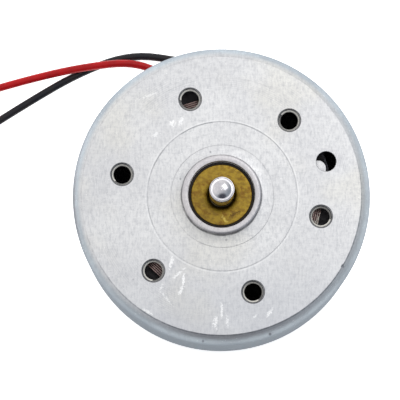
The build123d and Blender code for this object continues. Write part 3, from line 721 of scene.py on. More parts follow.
@dataclass(frozen=True)
class OilyBronze(Finish):
    """Sintered bronze, wiped with oil: golden and brown blotches, pores and a wet sheen."""

    bright: Scuff = Scuff(0.25, -2.0, -50, 0.9, 0.28, 0.7)
    dull: Scuff = Scuff(1.1, -1.55, 32, 1.1, 0.4, 0.8)

    def build(self) -> bpy.types.Material:
        """Builds the material."""
        board = NodeBoard(self.title())
        pores = board.noise(self.grain, 3.0)
        smears = board.noise(0.42, 7.0, board.mapped(board.place, (1.0, 1.3, 1.0), turn=32))
        tone = board.blend(board.span(smears, 0.38, 0.66), self.tone, self.second)
        tone = board.blend(board.span(board.noise(self.blotch, 4.0), 0.50, 0.70, 0.0, 0.75), tone,
                           (0.17, 0.08, 0.010))
        for mark, colour in ((self.bright, (0.62, 0.47, 0.10)), (self.dull, (0.10, 0.05, 0.01))):
            stroke = board.stroke((mark.x, mark.y), mark.turn, mark.length, mark.width)
            tone = board.blend(board.math("MULTIPLY", stroke, mark.strength), tone, colour)
        tone = board.blend(board.span(pores, 0.62, 0.78, 0.0, 0.5), tone, (0.10, 0.05, 0.01))
        board.set("Base Color", tone)
        board.set("Metallic", self.metallic)
        board.set("Roughness", board.span(smears, 0.35, 0.65, *self.roughness))
        board.set("Coat Weight", self.coat)
        board.set("Coat Roughness", 0.12)
        relief = board.math("ADD", pores, board.math("MULTIPLY", smears, 1.5))
        board.set("Normal", board.bump(relief, self.depth))
        return board.material


@dataclass(frozen=True)
class PolishedSteel(Finish):
    """Ground steel, with fine rings of the grinding wheel round it, and painted shade up from the bush."""

    shade_start_height: float = 14.9

    def build(self) -> bpy.types.Material:
        """Builds the material."""
        board = NodeBoard(self.title())
        rings = board.noise(1.0, 4.0, board.mapped(board.place, (1.0, 1.0, 14.0)))
        haze = board.noise(self.blotch, 4.0)
        tone = board.blend(board.span(haze, 0.4, 0.7), self.tone, self.second)
        # painted shade with a painted brown reflection of the bush: the shaft is darkened up to below its
        # tip, most near the bush
        mouth = board.span(board.height(), self.shade_start_height - 0.3, self.shade_start_height + 2.0, 0.97, 0.8)
        above = board.span(board.height(), MOUNTS["output_shaft"]["pos_m"][2] / MM - 0.4, 19.05, 1.0, 0.0)
        board.set("Base Color", board.blend(board.math("MULTIPLY", mouth, above), tone, (0.06, 0.05, 0.025)))
        board.set("Metallic", self.metallic)
        board.set("Roughness", board.span(haze, 0.3, 0.7, *self.roughness))
        board.set("Normal", board.bump(rings, self.depth))
        return board.material


@dataclass(frozen=True)
class EnamelWire(Finish):
    """Enamelled wire, with one dab of pale winding cement on a coil's outer edge."""

    dab: Scuff = Scuff(8.12, -2.05, 75, 1.6, 0.9, 1.0)

    def build(self) -> bpy.types.Material:
        """Builds the material."""
        board = NodeBoard(self.title())
        blotches = board.span(board.noise(self.blotch, 5.0), 0.35, 0.7)
        grain = board.noise(self.grain, 4.0)
        tone = board.blend(blotches, self.tone, self.second)
        dab = board.stroke((self.dab.x, self.dab.y), self.dab.turn, self.dab.length, self.dab.width)
        dab = board.math("MULTIPLY", dab, self.dab.strength)
        board.set("Base Color", board.blend(dab, tone, (1.0, 0.95, 0.84)))
        board.set("Metallic", board.math("MULTIPLY", board.math("SUBTRACT", 1.0, dab), self.metallic))
        board.set("Roughness", board.span(grain, 0.3, 0.7, *self.roughness))
        board.set("Coat Weight", self.coat)
        board.set("Normal", board.bump(grain, self.depth))
        return board.material


@dataclass(frozen=True)
class SoftVinyl(Finish):
    """A lead's extruded sleeve: an even colour in soft clouds, with a faint grain."""

    def build(self) -> bpy.types.Material:
        """Builds the material."""
        board = NodeBoard(self.title())
        cloud = board.noise(self.blotch, 3.0)
        fine = board.noise(self.grain, 5.0)
        tone = board.blend(board.span(cloud, 0.35, 0.7), self.tone, self.second)
        board.set("Base Color", tone)
        board.set("Specular IOR Level", 0.22)
        board.set("Roughness", board.span(fine, 0.3, 0.7, *self.roughness))
        board.set("Normal", board.bump(board.math("ADD", fine, cloud), self.depth))
        board.set("Coat Weight", self.coat)
        board.set("Coat Roughness", 0.3)
        return board.material


ZINC = ZincPlate("zinc_steel", (0.65, 0.65, 0.66), (0.71, 0.71, 0.715), 1.0, (0.40, 0.52), depth=0.006)
THREAD = ThreadCut("zinc_steel", (0.95, 0.92, 0.84), (0.80, 0.78, 0.72), 0.15, (0.25, 0.4), depth=0.003)
BRONZE = OilyBronze("bronze", (0.33, 0.215, 0.026), (0.245, 0.15, 0.02), 1.0, (0.30, 0.46), 0.5, 0.06, 0.005,
                    coat=0.3)
SHAFT_STEEL = PolishedSteel("shaft_steel", (0.66, 0.64, 0.66), (0.52, 0.51, 0.54), 1.0, (0.09, 0.20), 0.5,
                            depth=0.0012)
# painted shade: the core iron, the copper wire and the insulator card are toned darker than the bare
# materials, for the shade inside the case
CORE_IRON = Finish("core_iron", (0.10, 0.10, 0.115), (0.06, 0.055, 0.06), 1.0, (0.35, 0.6), 0.9, 0.06)
COPPER_WIRE = EnamelWire("copper_wire", (0.34, 0.235, 0.215), (0.25, 0.175, 0.17), 0.85, (0.25, 0.45), 1.5,
                         0.1, 0.002, coat=0.3)
INSULATOR_CARD = Finish("insulator_card", (0.045, 0.04, 0.05), (0.03, 0.026, 0.032), 0.0, (0.5, 0.7), 0.9,
                        0.06, 0.006)
FERRITE = Finish("magnet_ferrite", (0.045, 0.045, 0.05), (0.075, 0.075, 0.08), 0.0, (0.5, 0.75), 0.8, 0.07,
                 0.01)
SPRING_STEEL = Finish("spring_steel", (0.72, 0.72, 0.73), (0.56, 0.56, 0.58), 1.0, (0.22, 0.4), 1.0, 0.08,
                      0.003, (1, 6, 1))
NYLON = Finish("nylon_white", (0.74, 0.70, 0.60), (0.62, 0.57, 0.46), 0.0, (0.4, 0.55), 1.2, 0.09)
HOLDER_BLACK = Finish("holder_black", (0.028, 0.028, 0.031), (0.05, 0.05, 0.052), 0.0, (0.42, 0.6), 1.4, 0.07)
HUB_BROWN = Finish("hub_brown", (0.11, 0.05, 0.028), (0.06, 0.028, 0.018), 0.0, (0.35, 0.55), 0.8, 0.06)
CONTACT_BRASS = Finish("contact_brass", (0.62, 0.44, 0.16), (0.46, 0.30, 0.10), 1.0, (0.22, 0.38), 1.0, 0.08,
                       0.003, (1, 1, 5))
BAR_COPPER = Finish("bar_copper", (0.58, 0.25, 0.12), (0.36, 0.14, 0.07), 1.0, (0.22, 0.4), 0.6, 0.06,
                    0.003, (1, 1, 9))
CARBON = Finish("carbon", (0.035, 0.035, 0.037), (0.07, 0.07, 0.07), 0.0, (0.5, 0.75), 0.4, 0.05, 0.008)
RUBBER = Finish("damper_rubber", (0.03, 0.03, 0.03), (0.055, 0.053, 0.05), 0.0, (0.65, 0.85), 0.7, 0.06,
                0.008)
VARISTOR = Finish("varistor_grey", (0.11, 0.12, 0.13), (0.2, 0.2, 0.2), 0.0, (0.5, 0.7), 0.6, 0.05, 0.006)
SOLDER = Finish("solder_tin", (0.62, 0.62, 0.65), (0.44, 0.44, 0.47), 1.0, (0.16, 0.4), 0.5, 0.12, 0.012)
RED_SLEEVE = SoftVinyl("red_sleeve", (0.45, 0.0015, 0.004), (0.34, 0.001, 0.003), 0.0, (0.34, 0.48), 1.4,
                       0.08, 0.004, coat=0.04)
BLACK_SLEEVE = SoftVinyl("black_sleeve", (0.008, 0.009, 0.014), (0.016, 0.013, 0.014), 0.0, (0.34, 0.48),
                         1.1, 0.08, 0.004, coat=0.04)
STRAND = Finish("tinned_strand", (0.70, 0.68, 0.66), (0.55, 0.44, 0.34), 1.0, (0.2, 0.4), 0.5, 0.05, 0.003)
TIE_PAPER = Finish("tie_paper", (0.72, 0.71, 0.68), (0.60, 0.59, 0.55), 0.0, (0.55, 0.75), 0.8, 0.05, 0.006)


def ready(piece: Piece, body: Body, finish: Finish, *stands_for: str) -> Piece:
    """Dresses a finished piece, seats it on its body and reports it.

    Args:
        piece: The piece, with its place in its mesh.
        body: What it rides on.
        finish: Its finish.
        stands_for: The CAD nodes that it is shown in place of.

    Returns:
        The piece.
    """
    finish.dress(piece)
    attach(piece, body.value)
    if stands_for:
        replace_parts(piece, *stands_for)
    log.info("%s on %s, %s", piece.name, body.value, finish.slot)
    return piece


# ------------------------------------------------------------------------------ studio
@dataclass
class Studio:
    """The camera, the lights and the floor."""

    tilt: float = 5.2
    distance: float = 260.0
    lens: float = 286.65
    target: Place = (-1.755, -0.39, 13.9)
    floor_size: float = 700.0

    def camera(self) -> None:
        """Sets the camera over the face, leaning a little towards the near side."""
        data = bpy.data.cameras.new("camera")
        data.lens = self.lens
        data.sensor_width = 36.0
        data.clip_start = 0.01
        data.clip_end = 20.0
        camera = bpy.data.objects.new("camera", data)
        bpy.context.scene.collection.objects.link(camera)
        lean = radians(self.tilt)
        towards = Vector((0, -sin(lean), cos(lean)))
        camera.location = (Vector(self.target) + self.distance * towards) * MM
        camera.rotation_euler = (lean, 0, 0)
        bpy.context.scene.camera = camera

    def lights(self) -> None:
        """Lights the motor with one softbox at the far right."""
        data = bpy.data.lights.new("softbox", "AREA")
        data.shape = "RECTANGLE"
        data.size = 0.14
        data.size_y = 0.12
        data.energy = 0.062
        softbox = bpy.data.objects.new("softbox", data)
        bpy.context.scene.collection.objects.link(softbox)
        softbox.location = (0.07, 0.055, 0.15)
        aim = Vector((0, 0, 0.012)) - softbox.location
        softbox.rotation_euler = aim.to_track_quat("-Z", "Y").to_euler()

    def sky(self) -> None:
        """Paints the sky: bright to the far left, dim and bluish to the near right, dark low down near."""
        world = bpy.data.worlds.new("sky")
        bpy.context.scene.world = world
        world.use_nodes = True
        nodes, links = world.node_tree.nodes, world.node_tree.links
        coordinates = nodes.new("ShaderNodeTexCoord")
        background = nodes["Background"]

        def glow(direction: Place, low: float, high: float) -> Socket:
            """Gives a soft patch of the sky about a direction."""
            dot = nodes.new("ShaderNodeVectorMath")
            dot.operation = "DOT_PRODUCT"
            dot.inputs[1].default_value = Vector(direction).normalized()
            links.new(coordinates.outputs["Generated"], dot.inputs[0])
            spread = nodes.new("ShaderNodeMapRange")
            spread.interpolation_type = "SMOOTHSTEP"
            spread.inputs[1].default_value = low
            spread.inputs[2].default_value = high
            links.new(dot.outputs["Value"], spread.inputs[0])
            return spread.outputs[0]

        def blend(share: Socket, first: Socket | Colour, second: Colour) -> Socket:
            """Blends two colours of the sky."""
            node = nodes.new("ShaderNodeMix")
            node.data_type = "RGBA"
            links.new(share, node.inputs[0])
            if isinstance(first, tuple):
                node.inputs[6].default_value = (*first, 1)
            else:
                links.new(first, node.inputs[6])
            node.inputs[7].default_value = (*second, 1)
            return node.outputs[2]

        sky = blend(glow((-0.55, 0.55, 0.63), -0.55, 0.85), (0.36, 0.41, 0.46), (1.06, 1.06, 1.06))
        sky = blend(glow((0.05, -0.93, 0.36), 0.76, 0.97), sky, (0.08, 0.085, 0.11))
        links.new(sky, background.inputs["Color"])

    def floor(self) -> None:
        """Lays a plain pale floor under the motor, which glows more on the far side."""
        floor = start("floor", bpy.ops.mesh.primitive_plane_add, size=self.floor_size * MM)
        with editing(floor):
            bpy.ops.mesh.subdivide(number_cuts=3)
        board = NodeBoard("floor_paper")
        tone = board.blend(board.noise(60.0, 2.0), (0.93, 0.93, 0.93), (0.96, 0.96, 0.96))
        board.set("Base Color", tone)
        board.set("Roughness", 0.9)
        board.set("Emission Color", (1.0, 1.0, 1.0, 1.0))
        board.set("Emission Strength", board.span(board.along((0, 1, 0)), -14.0, 0.0, 0.57, 1.05))
        floor.data.materials.append(board.material)
        floor.location.z = -0.02 * MM
        settle(floor)

    def build(self) -> None:
        """Sets up the whole studio."""
        bpy.context.scene.view_settings.view_transform = "Standard"
        self.camera()
        self.lights()
        self.sky()
        self.floor()


# ------------------------------------------------------------------------------ leads
@dataclass
class LeadRoute:
    """One lead: its run to the coil, its turns, and its free end.

    Attributes:
        colour: Its colour's name.
        finish: Its sleeve's finish.
        run: The points from the solder joint to the coil.
        length: The lead's real length; not used.
        low: The height of its lower turns.
        start_angle: Where it comes onto the coil.
        end_angle: Where it leaves it, counted on past whole turns.
    """

    colour: str
    finish: Finish
    run: list[Place]
    length: float
    low: float
    start_angle: float
    end_angle: float


@dataclass
class Leads:
    """The red and black leads, laid out as in the part, with a neat tied coil at the far end."""

    diameter: float = 0.66
    rest: float = 0.34
    pitch: float = 0.68
    centre: Point = (-24.4, 0.15)
    middle: float = 3.6
    per_turn: int = 16
    end_steps: tuple[Place, ...] = ((0.6, 0, 0), (2.4, 0.1, 0.2), (4.4, 0.5, 0.85), (6.2, 1.2, 1))
    tip_length: float = 3.0
    black: LeadRoute = field(default_factory=lambda: LeadRoute(
        "black", BLACK_SLEEVE,
        [(2.5, 9.05, 0.85), (1.7, 10.6, 0.66), (-0.1, 12.1, 0.42), (-3.4, 12.9, 0.34), (-7.7, 13.5, 0.34),
         (-12.2, 11.85, 0.34), (-17.0, 9.0, 0.34), (-21.2, 6.3, 0.36), (-24.8, 4.42, 0.46)],
        112.0, 0.46, 120.0, 1305.0))
    red: LeadRoute = field(default_factory=lambda: LeadRoute(
        "red", RED_SLEEVE,
        [(-2.5, 9.05, 0.85), (-3.1, 10.35, 0.66), (-4.7, 11.65, 0.52), (-7.6, 12.75, 1.12),
         (-12.0, 12.2, 1.12), (-15.6, 11.5, 0.38), (-19.6, 10.4, 0.34), (-24.0, 9.0, 0.36),
         (-27.3, 6.2, 1.0), (-28.5, 3.2, 1.84), (-28.5, 1.2, 1.84)],
        112.0, 1.82, 180.0, 1285.0))

    def turn_point(self, lead: LeadRoute, angle: float) -> Place:
        """Gives a control point of a lead's coil: outside, inside, up, and outside again.

        Args:
            lead: The lead.
            angle: How far round the coil it is, in degrees.

        Returns:
            The point, a little outside the turn's line, as the spline cuts inside it.
        """
        gone = angle - lead.start_angle

        def eased(first: float, last: float) -> float:
            """Gives 0 before the first angle, 1 after the last, and a smooth way between."""
            share = min(1.0, max(0.0, (gone - first) / (last - first)))
            return share * share * (3 - 2 * share)

        inward = eased(280, 340) - eased(890, 930)
        radius = self.middle + self.pitch / 2 - self.pitch * inward
        reach = radius / cos(pi / self.per_turn)
        x = self.centre[0] + reach * cos(radians(angle))
        y = self.centre[1] + reach * sin(radians(angle))
        return x, y, lead.low + self.pitch * eased(570, 630)

    def end_points(self, lead: LeadRoute) -> list[Place]:
        """Gives the points of a lead's free end, which drops from the coil to the floor."""
        angle = radians(lead.end_angle)
        outer = self.middle + self.pitch / 2
        heading = Vector((-sin(angle), cos(angle), 0))
        aside = Vector((heading.y, -heading.x, 0))
        foot = Vector((self.centre[0] + outer * cos(angle), self.centre[1] + outer * sin(angle), 0))
        top = lead.low + self.pitch
        points = []
        for ahead, beside, drop in self.end_steps:
            spot = foot + ahead * heading + beside * aside
            points.append((spot.x, spot.y, top + (self.rest - top) * drop))
        return points

    def route(self, lead: LeadRoute) -> list[Place]:
        """Gives all of a lead's control points."""
        step = 360.0 / self.per_turn
        first = lead.start_angle + step
        count = int((lead.end_angle - first) // step) + 1
        turns = [self.turn_point(lead, first + step * index) for index in range(count)]
        return lead.run + turns + self.end_points(lead)

    def sleeve(self, lead: LeadRoute) -> Piece:
        """Lays a lead's sleeve along its route as one smooth curve."""
        data = bpy.data.curves.new(f"{lead.colour}_sleeve", "CURVE")
        data.dimensions = "3D"
        data.resolution_u = 6
        data.bevel_depth = self.diameter / 2 * MM
        data.bevel_resolution = 5
        data.use_fill_caps = True
        spline = data.splines.new("NURBS")
        route = self.route(lead)
        spline.points.add(len(route) - 1)
        for point, place in zip(spline.points, route):
            point.co = (*(Vector(place) * MM), 1.0)
        spline.order_u = 3
        spline.use_endpoint_u = True
        sleeve = bpy.data.objects.new(f"{lead.colour}_sleeve", data)
        bpy.context.scene.collection.objects.link(sleeve)
        return sleeve

    def tip(self, lead: LeadRoute) -> Piece:
        """Twists seven tinned strands into a lead's bare tip."""
        strands = []
        radius = 0.062
        ring = 0.115
        for index in range(7):
            offset = (ring * cos(index * pi / 3), ring * sin(index * pi / 3)) if index else (0.0, 0.0)
            strand = start("strand", bpy.ops.mesh.primitive_circle_add, vertices=10, radius=radius * MM,
                           fill_type="NOTHING", location=(offset[0] * MM, offset[1] * MM, 0))
            settle(strand)
            finish_modifier(strand, "SCREW", angle=1.6 * pi, screw_offset=self.tip_length * MM, steps=28,
                            render_steps=28, use_merge_vertices=False)
            with editing(strand):
                bpy.ops.mesh.fill_holes(sides=12)
            strands.append(strand)
        tip = join(f"{lead.colour}_tip_strands", strands)
        weld(tip)
        last, before = (Vector(place) for place in self.route(lead)[:-3:-1])
        heading = last - before
        heading.z = 0
        tip.rotation_euler = heading.to_track_quat("Z", "Y").to_euler()
        tip.location = last * MM
        settle(tip)
        smooth(tip, 40)
        return tip

    def build(self) -> None:
        """Lays both leads, and puts the tie round their coils."""
        for lead in (self.black, self.red):
            sleeve = self.sleeve(lead)
            tip = ready(self.tip(lead), Body.MOTOR, STRAND, f"{lead.colour}_lead_tip")
            ready(sleeve, Body.MOTOR, lead.finish, f"{lead.colour}_lead", f"{lead.colour}_lead_coil",
                  f"{lead.colour}_lead_end")
        tie = smoothed_copy("lead_tie", "tie_band", 0.03)
        ready(tie, Body.MOTOR, TIE_PAPER, "lead_tie")


# ------------------------------------------------------------------------------ case
@dataclass
class Case:
    """The drawn steel case: a cup with a ground face, a boss, seven holes and crimped lugs."""

    wall: float = 0.8
    face_thickness: float = 1.0
    corner: float = 1.5
    face_edge: float = 11.42
    edge_step: float = 0.045
    boss_bore: float = 2.73
    bush_bore: float = 2.5
    bush_seat: float = 0.2
    boss_rim: float = 0.24
    first_hole: float = 48.0
    chamfer: float = 0.07
    ring_radii: tuple[float, ...] = (4.2, 6.12)
    ring_centre: Point = (0.06, -0.08)
    ring_width: float = 0.05
    ring_depth: float = 0.01
    nick_angle: float = -30.5
    crimp_inner: float = 10.6
    crimp_height: float = 0.3
    crimp_angle: float = 22.0
    sharp_angle: float = 19.0
    thread_pitch: float = 0.4
    thread_turns: float = 1.4
    segments: int = 256

    def __post_init__(self) -> None:
        """Takes the main sizes from the frame."""
        low, high = box_mm("case")
        self.radius = high.x
        self.rim_z = low.z
        self.top_z = high.z
        self.face_z = MOUNTS["mounting_face"]["pos_m"][2] / MM
        self.boss_radius = MOUNTS["front_boss"]["dims"]["r_mm"]
        self.hole_circle = MOUNTS["mounting_holes"]["dims"]["pcd_mm"] / 2
        self.hole_count = MOUNTS["mounting_holes"]["dims"]["count"]
        self.hole_radius = MOUNTS["mounting_holes"]["dims"]["hole_r_mm"]
        self.locating_radius = MOUNTS["locating_hole"]["dims"]["r_mm"]
        self.locating_place = [value / MM for value in MOUNTS["locating_hole"]["pos_m"][:2]]

    def hole_places(self) -> list[Point]:
        """Gives the centres of the tapped holes."""
        return [polar(self.hole_circle, self.first_hole + index * 360 / self.hole_count)
                for index in range(self.hole_count)]

    def outline(self) -> list[Point]:
        """Gives the half section of the case, from the bush's bore round to the boss."""
        inner = self.radius - self.wall
        under = self.face_z - self.face_thickness
        across = self.face_edge - self.radius + self.corner
        centre_z = self.face_z - self.edge_step - sqrt(self.corner**2 - across**2)
        top_angle = atan2(sqrt(self.corner**2 - across**2), across) * 180 / pi
        rim = self.boss_rim
        return [
            (self.bush_bore, under), (inner - 0.3, under),
            *arc((inner - 0.3, under - 0.3), 0.3, 90, 0, 4)[1:],
            (inner, self.rim_z + 0.05), (inner + 0.05, self.rim_z), (self.radius - 0.08, self.rim_z),
            (self.radius, self.rim_z + 0.08),
            *arc((self.radius - self.corner, centre_z), self.corner, 0, top_angle, 14),
            (self.face_edge - 0.012, self.face_z - 0.012), (self.face_edge - 0.03, self.face_z),
            (10.2, self.face_z), (7.2, self.face_z),
            (self.boss_radius + 0.05, self.face_z), (self.boss_radius + 0.012, self.face_z + 0.012),
            (self.boss_radius, self.face_z + 0.05),
            *arc((self.boss_radius - rim, self.top_z - rim), rim, 0, 90, 8),
            (self.boss_bore + 0.05, self.top_z), (self.boss_bore + 0.012, self.top_z - 0.012),
            (self.boss_bore, self.top_z - 0.05),
            (self.boss_bore, self.face_z + self.bush_seat), (self.bush_bore, self.face_z + self.bush_seat),
        ]

    def hole_tool(self, name: str, radius: float, chamfer: float) -> Piece:
        """Turns a drill with a countersink, to cut one hole."""
        top = self.face_z
        outline = [(0, top - self.face_thickness - 0.3), (radius, top - self.face_thickness - 0.3),
                   (radius, top - chamfer), (radius + chamfer, top), (radius + chamfer, top + 0.2),
                   (0, top + 0.2)]
        return lathe(name, outline, 48, closed=False)

    def ring_tool(self, radius: float) -> Piece:
        """Turns a thin ring with a sharp foot, to cut one groove of the face."""
        half = self.ring_width / 2
        outline = [(radius, self.face_z - self.ring_depth), (radius + half, self.face_z),
                   (radius + half, self.face_z + 0.1), (radius - half, self.face_z + 0.1),
                   (radius - half, self.face_z)]
        return lathe("groove_tool", outline, self.segments)

    def lug(self) -> Piece:
        """Bends one crimped lug in under the rear cover."""
        inner = self.radius - self.wall + 0.2
        height = self.crimp_height
        outline = [(self.crimp_inner + 0.06, self.rim_z), (inner, self.rim_z), (inner, self.rim_z + height),
                   (self.crimp_inner + 0.12, self.rim_z + height),
                   (self.crimp_inner, self.rim_z + height - 0.1),
                   (self.crimp_inner, self.rim_z + 0.06)]
        lug = outline_piece("case_lug", outline)
        with editing(lug):
            bpy.ops.mesh.edge_face_add()
            bpy.ops.mesh.spin(steps=14, angle=radians(self.crimp_angle), center=(0, 0, 0), axis=(0, 0, 1))
        weld(lug)
        return lug

    def build(self) -> None:
        """Makes the case with its holes, grooves, nick and lugs."""
        case = lathe("case_shell", self.outline(), self.segments)
        drill = self.hole_tool("drill", self.hole_radius, self.chamfer)
        drills = [copy_piece(drill, "drill", place=(*place, 0)) for place in self.hole_places()]
        plain = self.hole_tool("drill", self.locating_radius, 0.03)
        drills.append(copy_piece(plain, "drill", place=(*self.locating_place, 0)))
        cut(case, join("drills", drills))
        for spent in (drill, plain):
            bpy.data.objects.remove(spent)
        for radius in self.ring_radii:
            tool = self.ring_tool(radius)
            cut(case, copy_piece(tool, "groove_tool", place=(*self.ring_centre, 0)))
            bpy.data.objects.remove(tool)
        nick = start("nick_tool", bpy.ops.mesh.primitive_uv_sphere_add, segments=16, ring_count=10,
                     radius=0.2 * MM)
        nick.scale = (0.8, 1.5, 0.7)
        settle(nick)
        x, y = polar(self.face_edge + 0.05, self.nick_angle)
        cut(case, copy_piece(nick, "nick_tool", self.nick_angle, (x, y, self.face_z + 0.03)))
        bpy.data.objects.remove(nick)
        lug = self.lug()
        lugs = [copy_piece(lug, "case_lug", 45 - self.crimp_angle / 2 + 90 * index) for index in range(4)]
        bpy.data.objects.remove(lug)
        case = join("case_shell", [case, *lugs])
        smooth(case, self.sharp_angle)
        finish_modifier(case, "WEIGHTED_NORMAL", keep_sharp=True, weight=80)
        ready(case, Body.MOTOR, ZINC, "case")
        self.threads()

    def threads(self) -> None:
        """Cuts a real thread into each tapped hole: a ridge that winds down the wall."""
        pitch, turns = self.thread_pitch, self.thread_turns
        wall = self.hole_radius + 0.015
        crest = self.hole_radius - 0.145
        bottom = self.face_z - self.face_thickness + 0.02
        ridge = outline_piece("thread", [
            (wall, bottom), (crest, bottom + pitch * 0.40), (crest, bottom + pitch * 0.52),
            (wall, bottom + pitch * 0.92)])
        finish_modifier(ridge, "SCREW", angle=2 * pi * turns, screw_offset=turns * pitch * MM, iterations=1,
                        steps=56, render_steps=56, use_merge_vertices=False)
        with editing(ridge):
            bpy.ops.mesh.fill_holes(sides=6)
        weld(ridge)
        for index, place in enumerate(self.hole_places()):
            thread = copy_piece(ridge, f"thread_{index + 1}", 40.0 * index, (*place, 0))
            smooth(thread, 35)
            ready(thread, Body.MOTOR, THREAD)
        bpy.data.objects.remove(ridge)


# ------------------------------------------------------------------------------ bearings and shaft
@dataclass
class FrontBush:
    """The sintered bronze bush in the boss."""

    bore: float = 1.02
    bore_chamfer: float = 0.17
    edge_chamfer: float = 0.08

    def build(self) -> None:
        """Turns the bush, with a countersunk mouth and a rounded rim."""
        low, high = box_mm("front_bush")
        radius, bottom, top = high.x, low.z, high.z
        edge = self.edge_chamfer
        outline = [
            (self.bore, bottom + 0.1), (self.bore + 0.1, bottom), (radius - 0.1, bottom),
            (radius, bottom + 0.1),
            *arc((radius - edge, top - edge), edge, 0, 90, 5), (2.05, top - 0.012), (1.6, top - 0.012),
            (self.bore + self.bore_chamfer + 0.03, top - 0.004), (self.bore + self.bore_chamfer, top - 0.02),
            (self.bore + 0.02, top - self.bore_chamfer + 0.02), (self.bore, top - self.bore_chamfer - 0.03),
        ]
        bush = lathe("front_bush_turned", outline, 160)
        smooth(bush, 30)
        ready(bush, Body.MOTOR, BRONZE, "front_bush")


@dataclass
class Shaft:
    """The ground shaft, with a domed tip and the small nib that grinding leaves in its middle."""

    radius: float = 1.0
    groove_radius: float = 0.82
    groove: tuple[float, float] = (-0.1, 0.61)
    dome: float = 0.6

    def build(self) -> None:
        """Turns the shaft from its rounded foot to its tip."""
        low, high = box_mm("shaft")
        bush_top = box_mm("front_bush")[1].z
        foot, tip = low.z, high.z
        groove_low, groove_top = (bush_top + offset for offset in self.groove)
        across = self.radius - 0.06
        dome_radius = (across**2 + self.dome**2) / (2 * self.dome)
        spread = atan2(across, dome_radius - self.dome) * 180 / pi
        nib = 0.07
        outline = [
            (0, foot), (self.radius - 0.3, foot), *arc((self.radius - 0.3, foot + 0.3), 0.3, -90, 0, 6)[1:],
            (self.radius, groove_low - 0.03), (self.radius - 0.03, groove_low),
            (self.groove_radius, groove_low + 0.02), (self.groove_radius, groove_top - 0.02),
            (self.radius - 0.03, groove_top), (self.radius, groove_top + 0.03),
            (self.radius, tip - self.dome - 0.07), (self.radius - 0.015, tip - self.dome - 0.02),
            *arc((0, tip - dome_radius - 0.012), dome_radius, 90 - spread, 86, 14),
            (nib, tip - 0.016), (nib * 0.6, tip - 0.003), (0, tip),
        ]
        shaft = lathe("shaft_ground", outline, 128, closed=False)
        smooth(shaft, 40)
        ready(shaft, Body.ROTOR, SHAFT_STEEL, "shaft")


# ------------------------------------------------------------------------------ windings
@dataclass
class Windings:
    """Three coils of enamelled wire, wound turn by turn on the poles' necks."""

    wire: float = 0.165
    layers: int = 4
    start_radius: float = 3.42
    edge_radius: float = 8.28
    half_width: float = 1.42
    half_height: float = 2.15
    middle_z: float = 9.475
    corner: float = 0.55
    first_pole: float = 108.0

    def turn(self, across: float, layer: int, progress: float) -> list[Place]:
        """Gives the points of one turn of wire round the neck.

        Args:
            across: The turn's distance from the shaft's axis.
            layer: Which layer it is on.
            progress: How far the wire moves outwards over the turn.

        Returns:
            The points.
        """
        grow = layer * self.wire
        width, height = self.half_width + grow, self.half_height + grow
        corner = self.corner + grow * 0.6
        points = []
        for quarter, (sign_y, sign_z) in enumerate(((1, 1), (-1, 1), (-1, -1), (1, -1))):
            centre = (sign_y * (width - corner), sign_z * (height - corner))
            for y, z in arc(centre, corner, 90 * quarter, 90 * quarter + 90, 3):
                points.append((across + progress * (quarter + 0.5) / 4, y, self.middle_z + z))
        return points

    def wound(self) -> Piece:
        """Winds one coil on a neck that points along X, layer over layer."""
        turns = int((self.edge_radius - self.start_radius) / self.wire)
        route: list[Place] = [(3.75, 0.35, 6.45), (3.6, 0.9, 6.72)]
        for layer in range(self.layers):
            outwards = layer % 2 == 0
            for index in range(turns):
                step = index if outwards else turns - index
                across = self.start_radius + step * self.wire
                route += self.turn(across, layer, self.wire if outwards else -self.wire)
        data = bpy.data.curves.new("winding", "CURVE")
        data.dimensions = "3D"
        data.bevel_depth = self.wire * 0.49 * MM
        data.bevel_resolution = 1
        data.use_fill_caps = True
        spline = data.splines.new("POLY")
        spline.points.add(len(route) - 1)
        for point, place in zip(spline.points, route):
            point.co = (*(Vector(place) * MM), 1.0)
        coil = bpy.data.objects.new("winding", data)
        bpy.context.scene.collection.objects.link(coil)
        pick(coil)
        bpy.ops.object.convert(target="MESH")
        return bpy.context.object

    def build(self) -> None:
        """Winds one coil and copies it to the three poles."""
        coil = self.wound()
        smooth(coil, 60)
        for index, letter in enumerate("abc"):
            copy = copy_piece(coil, f"winding_{letter}", self.first_pole + 120 * index)
            ready(copy, Body.ROTOR, COPPER_WIRE, f"coil_{letter}")
        bpy.data.objects.remove(coil)


